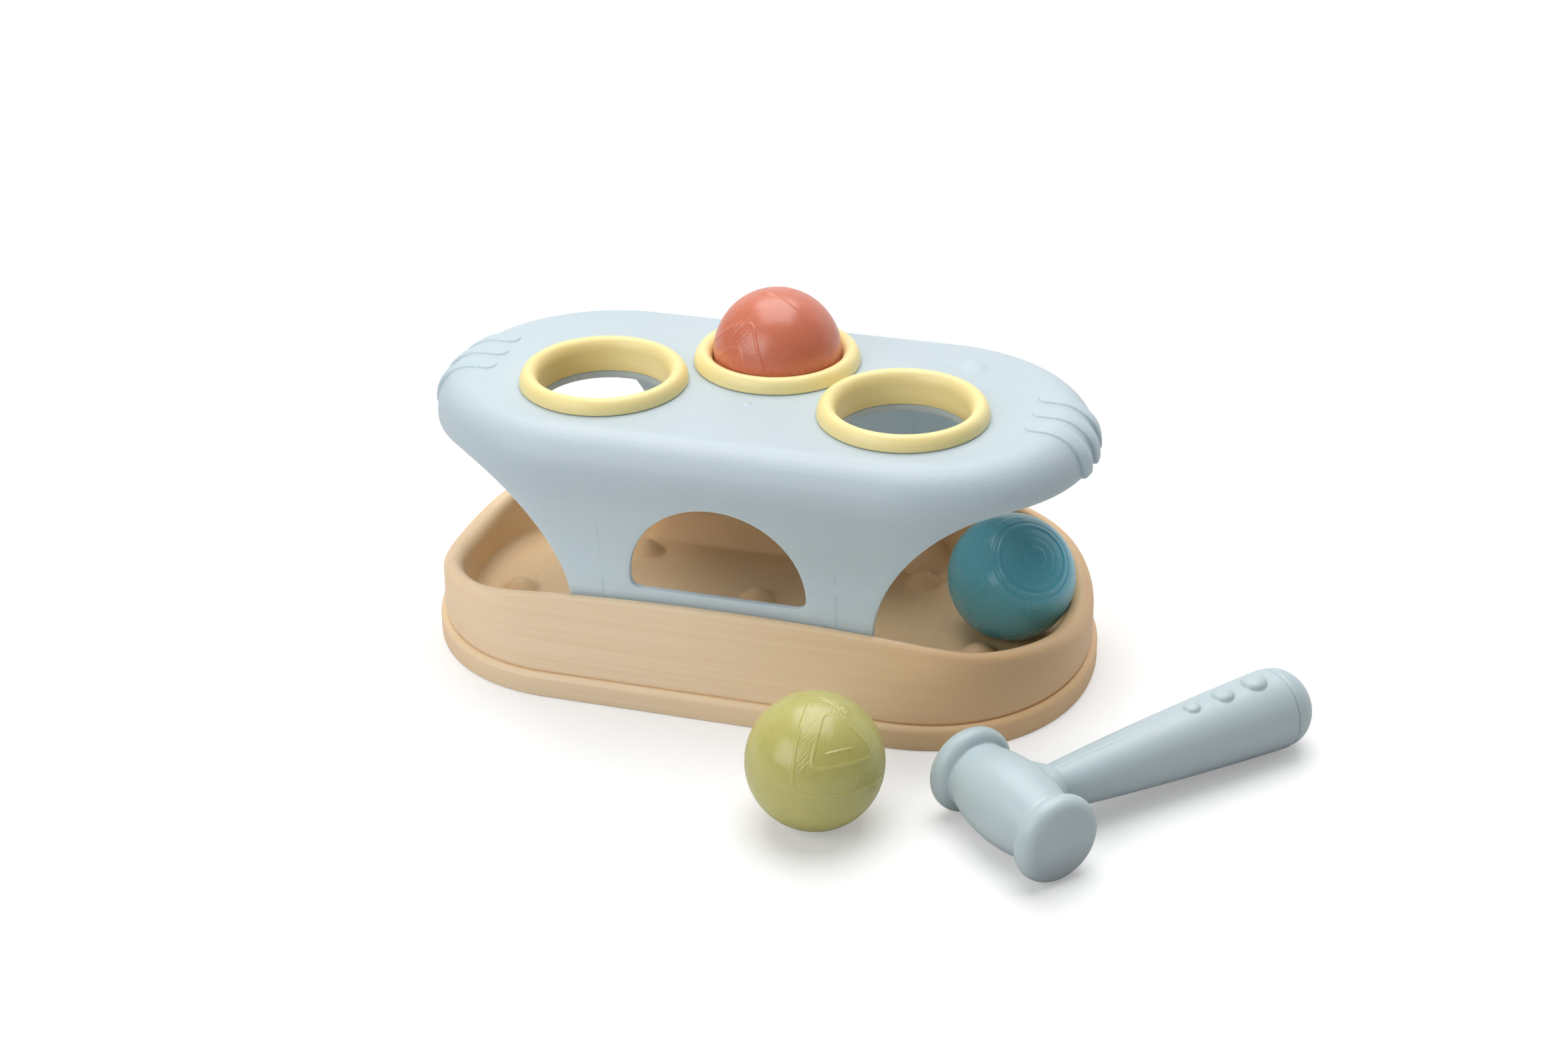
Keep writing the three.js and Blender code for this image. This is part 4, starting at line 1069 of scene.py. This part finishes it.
def leather(distance, way):   # wavy rows with pips between them, along a line
    x, y, z = way.T
    wave = np.sin(x * 41 + 3 * np.sin(y * 29)) + np.sin(y * 37 + 3 * np.sin(z * 31))
    pips = np.sin(x * 90 + 2 * wave) * np.sin(z * 84 + 2 * wave)
    return 0.35 * np.sin(distance * 6.3 + 1.6 * wave) + 0.9 * pips


# The marks on the balls, as directions from their middles; a band is a place and an angle that leather fills.
ballMarks = {
    "green": {
        "middle": (0.32, -0.52, 0.79),
        "small": ((0.372, -0.429, 0.823), (0.387, -0.708, 0.590), (0.669, -0.462, 0.583)),
        "inner": ((0.178, -0.166, 0.970), (0.173, -0.891, 0.421), (0.913, -0.202, 0.356)),
        "outer": ((-0.04, 0.129, 0.991), (-0.05, -0.994, 0.091), (0.999, 0.042, -0.033)),
        "bars": (((0.092, 0.118, 0.989), (0.487, 0.016, 0.873)),
                 ((0.110, 0.075, 0.991), (0.470, -0.020, 0.882)),
                 ((0.363, -0.695, 0.621), (0.662, -0.440, 0.606))),
        "band": (((0.0, 0.0, 1.0), 0.56), ((-0.03, -0.78, 0.62), 0.28)),
    },
    "red": {
        "middle": (-0.60, -0.75, -0.10),
        "small": ((-0.42, -0.89, 0.16), (-0.78, -0.55, -0.25), (-0.20, -0.87, -0.42)),
        "inner": ((-0.348, -0.845, 0.450), (-0.93, -0.25, -0.30), (0.02, -0.80, -0.62)),
        "outer": ((-0.190, -0.640, 0.745), (-0.97, 0.10, -0.40), (0.190, -0.93, -0.30)),
        "bars": (((-0.485, -0.679, 0.550), (-0.279, -0.591, 0.757)),
                 ((-0.52, -0.645, 0.558), (-0.39, -0.595, 0.703)),
                 ((-0.219, -0.074, 0.973), (0.093, -0.169, 0.981),
                  (0.392, -0.292, 0.872), (0.649, -0.273, 0.710))),
        "band": (((-0.16, -0.84, 0.50), 0.34),),
    },
    "teal": {
        "face": (0.463, -0.535, 0.707),
        "rings": ((0.0, 9.6, 0.26), (18.5, 21.5, -0.1), (31.0, 35.5, 0.5), (39.0, 49.0, 0.26)),
        "soft": 1.1,   # half the width of a ring's edge, in degrees
    },
    "share": {"small": 0.30, "inner": 0.22, "outer": 0.16},   # how round the triangles' corners are
    "line": {"small": (1.2, 0.05), "inner": (1.5, 0.2), "outer": (1.5, 0.2), "bars": (1.0, 0.3)},
    "leather": 0.09,
}


def triangleRelief(marks, turns):   # nested triangles, their bars and leather bands, once for each turn
    style, radius = ballMarks["line"], ballShape["radius"]
    loops = {key: roundCornered(marks[key], share) for key, share in ballMarks["share"].items()}

    def relief(way):
        total = np.zeros(len(way))
        for turn in turns:
            near = way @ turn @ unit(marks["middle"]) > -0.12
            q = (way @ turn)[near]
            away = {key: fromLine(q, line, radius) for key, line in loops.items()}
            lift = sum(ridge(away[key], *style[key]) for key in away)
            bars = marks["bars"] if turn is turns[0] else ()
            for bar in bars:
                lift += ridge(fromLine(q, curved(bar), radius), *style["bars"])
            band = within(q, marks["middle"], loops["outer"]) & ~within(q, marks["middle"], loops["inner"])
            soft = fade(away["outer"], 0.7, 1.3) * fade(away["inner"], 0.7, 1.3) * band
            patch = np.zeros(len(q))
            for place, reach in marks["band"]:
                patch = np.maximum(patch, 1 - fade(apart(q, place), reach * 0.85, reach * 1.1))
            total[near] += lift + ballMarks["leather"] * soft * patch * leather(away["inner"], q)
        return total
    return relief


def ringRelief(marks):   # rings about a round button, on the front and on the back
    soft = marks["soft"]

    def relief(way):
        lift = np.zeros(len(way))
        for side in (1, -1):
            turn = np.degrees(apart(way, side * np.array(marks["face"])))
            for low, high, height in marks["rings"]:
                rise = 1.0 if low == 0 else fade(turn, low - soft, low + soft)
                lift += height * (rise - fade(turn, high - soft, high + soft))
        return lift
    return relief


front = np.eye(3)
redTurns = (front, np.array(Matrix.Rotation(math.pi, 3, "Z")))
greenTurns = (front, np.array(Matrix.Rotation(math.pi, 3, (0.6, 0.5, -0.1))))
makeBall("red", ("Upper", "Lower"), (0, 0, 1), redClear, triangleRelief(ballMarks["red"], redTurns))
makeBall("teal", ("Front", "Back"), (1, -2, 1), tealClear, ringRelief(ballMarks["teal"]))
makeBall("green", ("Front", "Back"), (0, -2, 1), greenClear, triangleRelief(ballMarks["green"], greenTurns))
print("balls ready")


# Hammer, drawn with X along the head, Y along the handle and Z up, from the middle of the head

hammerShape = {
    "place": middleOf("hammer_head"), "turn": -42.3,
    "headHalf": 30.0, "dome": 0.7, "discRadius": 16.6, "discWidth": 10.6, "discRound": 5.0,
    "flank": 4.6, "flankStart": 1.2, "waist": 12.9, "waistReach": 1.9, "barrel": 15.8,
    "neckEnd": 18.2, "neckHalfLength": 15.5, "neckHalfHeight": 12.2, "neckStart": 4.0, "neckCorner": 5.0,
    "voxel": 0.36,
    "rootRadius": 8.5, "endRadius": 15.3, "handleLength": 100.6, "swell": 0.45, "gap": 0.3,
    "handleWall": 2.6, "handleBore": 6.0, "endRound": 0.5,
    "handleGrid": (220, 230),                          # points round the handle, rings along it
    "hollow": ((0.0, 0.0), (0.0, 8.0), (1.5, 60.0)),   # how much narrower it is, how far from the end
    "hollowDeep": 62.0,
    "dots": ((0.605, 3.1, 1.3), (0.748, 4.1, 1.6), (0.893, 4.75, 1.9)),   # place, radius and height
    "seam": {"height": 0.3, "ends": (45, 66), "width": (0.2, 1.5)},       # along the root of the handle
    "capLength": 13.35, "groove": 0.9, "plugLength": 6.0, "plugGap": 0.6,
    "steps": 128,
}


def hammerPlace(hammer):
    reach = hammer["neckEnd"] + hammer["gap"] + hammer["handleLength"] - hammer["rootRadius"]
    tilt = math.asin((hammer["discRadius"] - hammer["endRadius"]) / reach)
    turn = Matrix.Rotation(math.radians(hammer["turn"]), 4, "Z") @ Matrix.Rotation(-tilt, 4, "X")
    return Matrix.Translation(Vector(hammer["place"]) * mm) @ turn


def headBarrel(hammer):   # half the head's profile from a disc's face to the middle, and its mirror
    face, disc, edgeRound = hammer["headHalf"], hammer["discRadius"], hammer["discRound"]
    flank, start, waist = hammer["flank"], hammer["flankStart"], hammer["waist"]
    edge = disc - edgeRound
    inner = face - hammer["discWidth"]
    rows = [(edge * s, face + hammer["dome"] * (1 - s ** 2)) for s in bends(8, 1.0, 0)]
    rows += [(edge + edgeRound * math.sin(v), face - edgeRound * (1 - math.cos(v))) for v in bends(14)]
    side = hammer["discWidth"] - edgeRound - start
    rows += [(disc - flank + flank * math.cos(v), inner + start + side * (1 - math.sin(v)))
             for v in bends(12, first=0)]
    reach = waist - rows[-1][0]
    rows += [(waist - reach * (1 - math.sin(v)), inner + start - hammer["waistReach"] * (1 - math.cos(v)))
             for v in bends(8)]
    low = rows[-1][1]
    rows += [(waist + (hammer["barrel"] - waist) * (1 - (1 - s) ** 2), low * (1 - s)) for s in bends(14, 1.0)]
    rows += [(r, -z) for r, z in rows[-2::-1]]
    points, faces = lathe(rows, hammer["steps"], closed=False)
    return points[:, [2, 0, 1]], faces


def headNeck(hammer):   # a round-cornered block that narrows to the handle's round root
    rings = []
    count = 96
    x, z = circle(count).T
    for s in bends(14, 1.0, 0):
        halfLength, halfHeight, corner = (hammer[key] + (hammer["rootRadius"] - hammer[key]) * s
                                          for key in ("neckHalfLength", "neckHalfHeight", "neckCorner"))
        across = np.sign(np.round(x, 9)) * (halfLength - corner) + corner * x
        up = np.sign(np.round(z, 9)) * (halfHeight - corner) + corner * z
        along = hammer["neckStart"] + (hammer["neckEnd"] - hammer["neckStart"]) * s
        rings.append(np.stack([across, np.full(count, along), up], 1))
    return np.concatenate(rings), gridFaces(len(rings), count) + capFaces(len(rings), count)


def capFaces(rings, count):   # the two ends of a tube of rings
    return [tuple(range(count)), tuple(range(rings * count - 1, (rings - 1) * count - 1, -1))]


def makeHead(hammer, place):
    head = tool(*headBarrel(hammer))
    boolean(head, tool(*headNeck(hammer)), "UNION")
    change = head.modifiers.new("even", "REMESH")
    change.mode, change.voxel_size = "VOXEL", hammer["voxel"] * mm
    soft = head.modifiers.new("soft", "SMOOTH")
    soft.factor, soft.iterations = 0.5, 5
    applied(head)
    head.data.transform(place)
    dress(head, "hammerHead", "hammer", hammerBlue, ["hammer_head"], sharp=60)


def makeHandle(hammer, place):
    start, length, root = hammer["neckEnd"] + hammer["gap"], hammer["handleLength"], hammer["rootRadius"]
    count, rows = hammer["handleGrid"]
    x, z = circle(count).T
    fromTop = np.arange(count) / count * 2 * math.pi - quarterTurn
    seam = hammer["seam"]
    rings = []

    def ring(radius, along):
        rings.append(np.stack([radius * x, np.full(count, along), radius * z], 1))

    for radius in (hammer["handleBore"], root + 0.02):   # a thin lip covers the joint with the neck
        ring(radius, hammer["neckEnd"] - 0.5)
    for s in bends(rows, 1.0, 0):
        radius = root + (hammer["endRadius"] - root) * s * (1 + hammer["swell"] * (1 - s))
        along = start + s * length
        toEnd = min((1 - s) * length / hammer["endRound"], 1)
        rounded = hammer["endRound"] * (1 - math.sqrt(max(0.0, 1 - (1 - toEnd) ** 2)))
        across = radius * fromTop   # from the top line, along the skin
        lift = seam["height"] * (1 - fade(along, *seam["ends"])) * (1 - fade(np.abs(across), *seam["width"]))
        for share, size, proud in hammer["dots"]:
            away = np.hypot(across, along - start - share * length)
            lift = np.maximum(lift, proud * np.sqrt(np.clip(1 - (away / (size * 1.02)) ** 2.6, 0, 1)))
        ring(radius - rounded + lift, along)
    end, bore = start + length, hammer["endRadius"] - hammer["handleWall"]
    for narrower, deep in hammer["hollow"]:
        ring(bore - narrower, end - deep)
    ring(0.1, end - hammer["hollowDeep"])
    faces = gridFaces(len(rings), count) + capFaces(len(rings), count)
    makePiece("hammerHandle", np.concatenate(rings), faces, "hammer", hammerBlue,
              ["hammer_handle"], sharp=50, place=place)


def makeEndCap(hammer, place):
    start = hammer["neckEnd"] + hammer["gap"] + hammer["handleLength"] + hammer["gap"]
    plug = hammer["endRadius"] - hammer["handleWall"] - hammer["plugGap"]
    groove, outer = hammer["groove"], hammer["endRadius"]
    rows = [(0, start - hammer["plugLength"]), (plug, start - hammer["plugLength"]), (plug, start),
            (outer - groove, start), (outer - groove * 0.85, start + 0.3),
            (outer - groove * 0.45, start + groove * 0.85)]
    big, dome = outer - groove / 3, hammer["capLength"] - groove
    rows += [(big * math.cos(v), start + groove + dome * math.sin(v))
             for v in np.linspace(0.02, quarterTurn, 40)]
    points, faces = lathe(rows, hammer["steps"], closed=False)
    makePiece("hammerEndCap", points[:, [0, 2, 1]] * [-1, 1, 1], faces, "hammer",
              hammerBlue, ["hammer_end_cap"], sharp=50, place=place)


hammerAt = hammerPlace(hammerShape)
makeHead(hammerShape, hammerAt)
makeHandle(hammerShape, hammerAt)
makeEndCap(hammerShape, hammerAt)
print("hammer ready")


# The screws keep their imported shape

for name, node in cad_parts.items():
    if name.startswith("screw"):
        node.data.materials.clear()
        node.data.materials.append(steel)
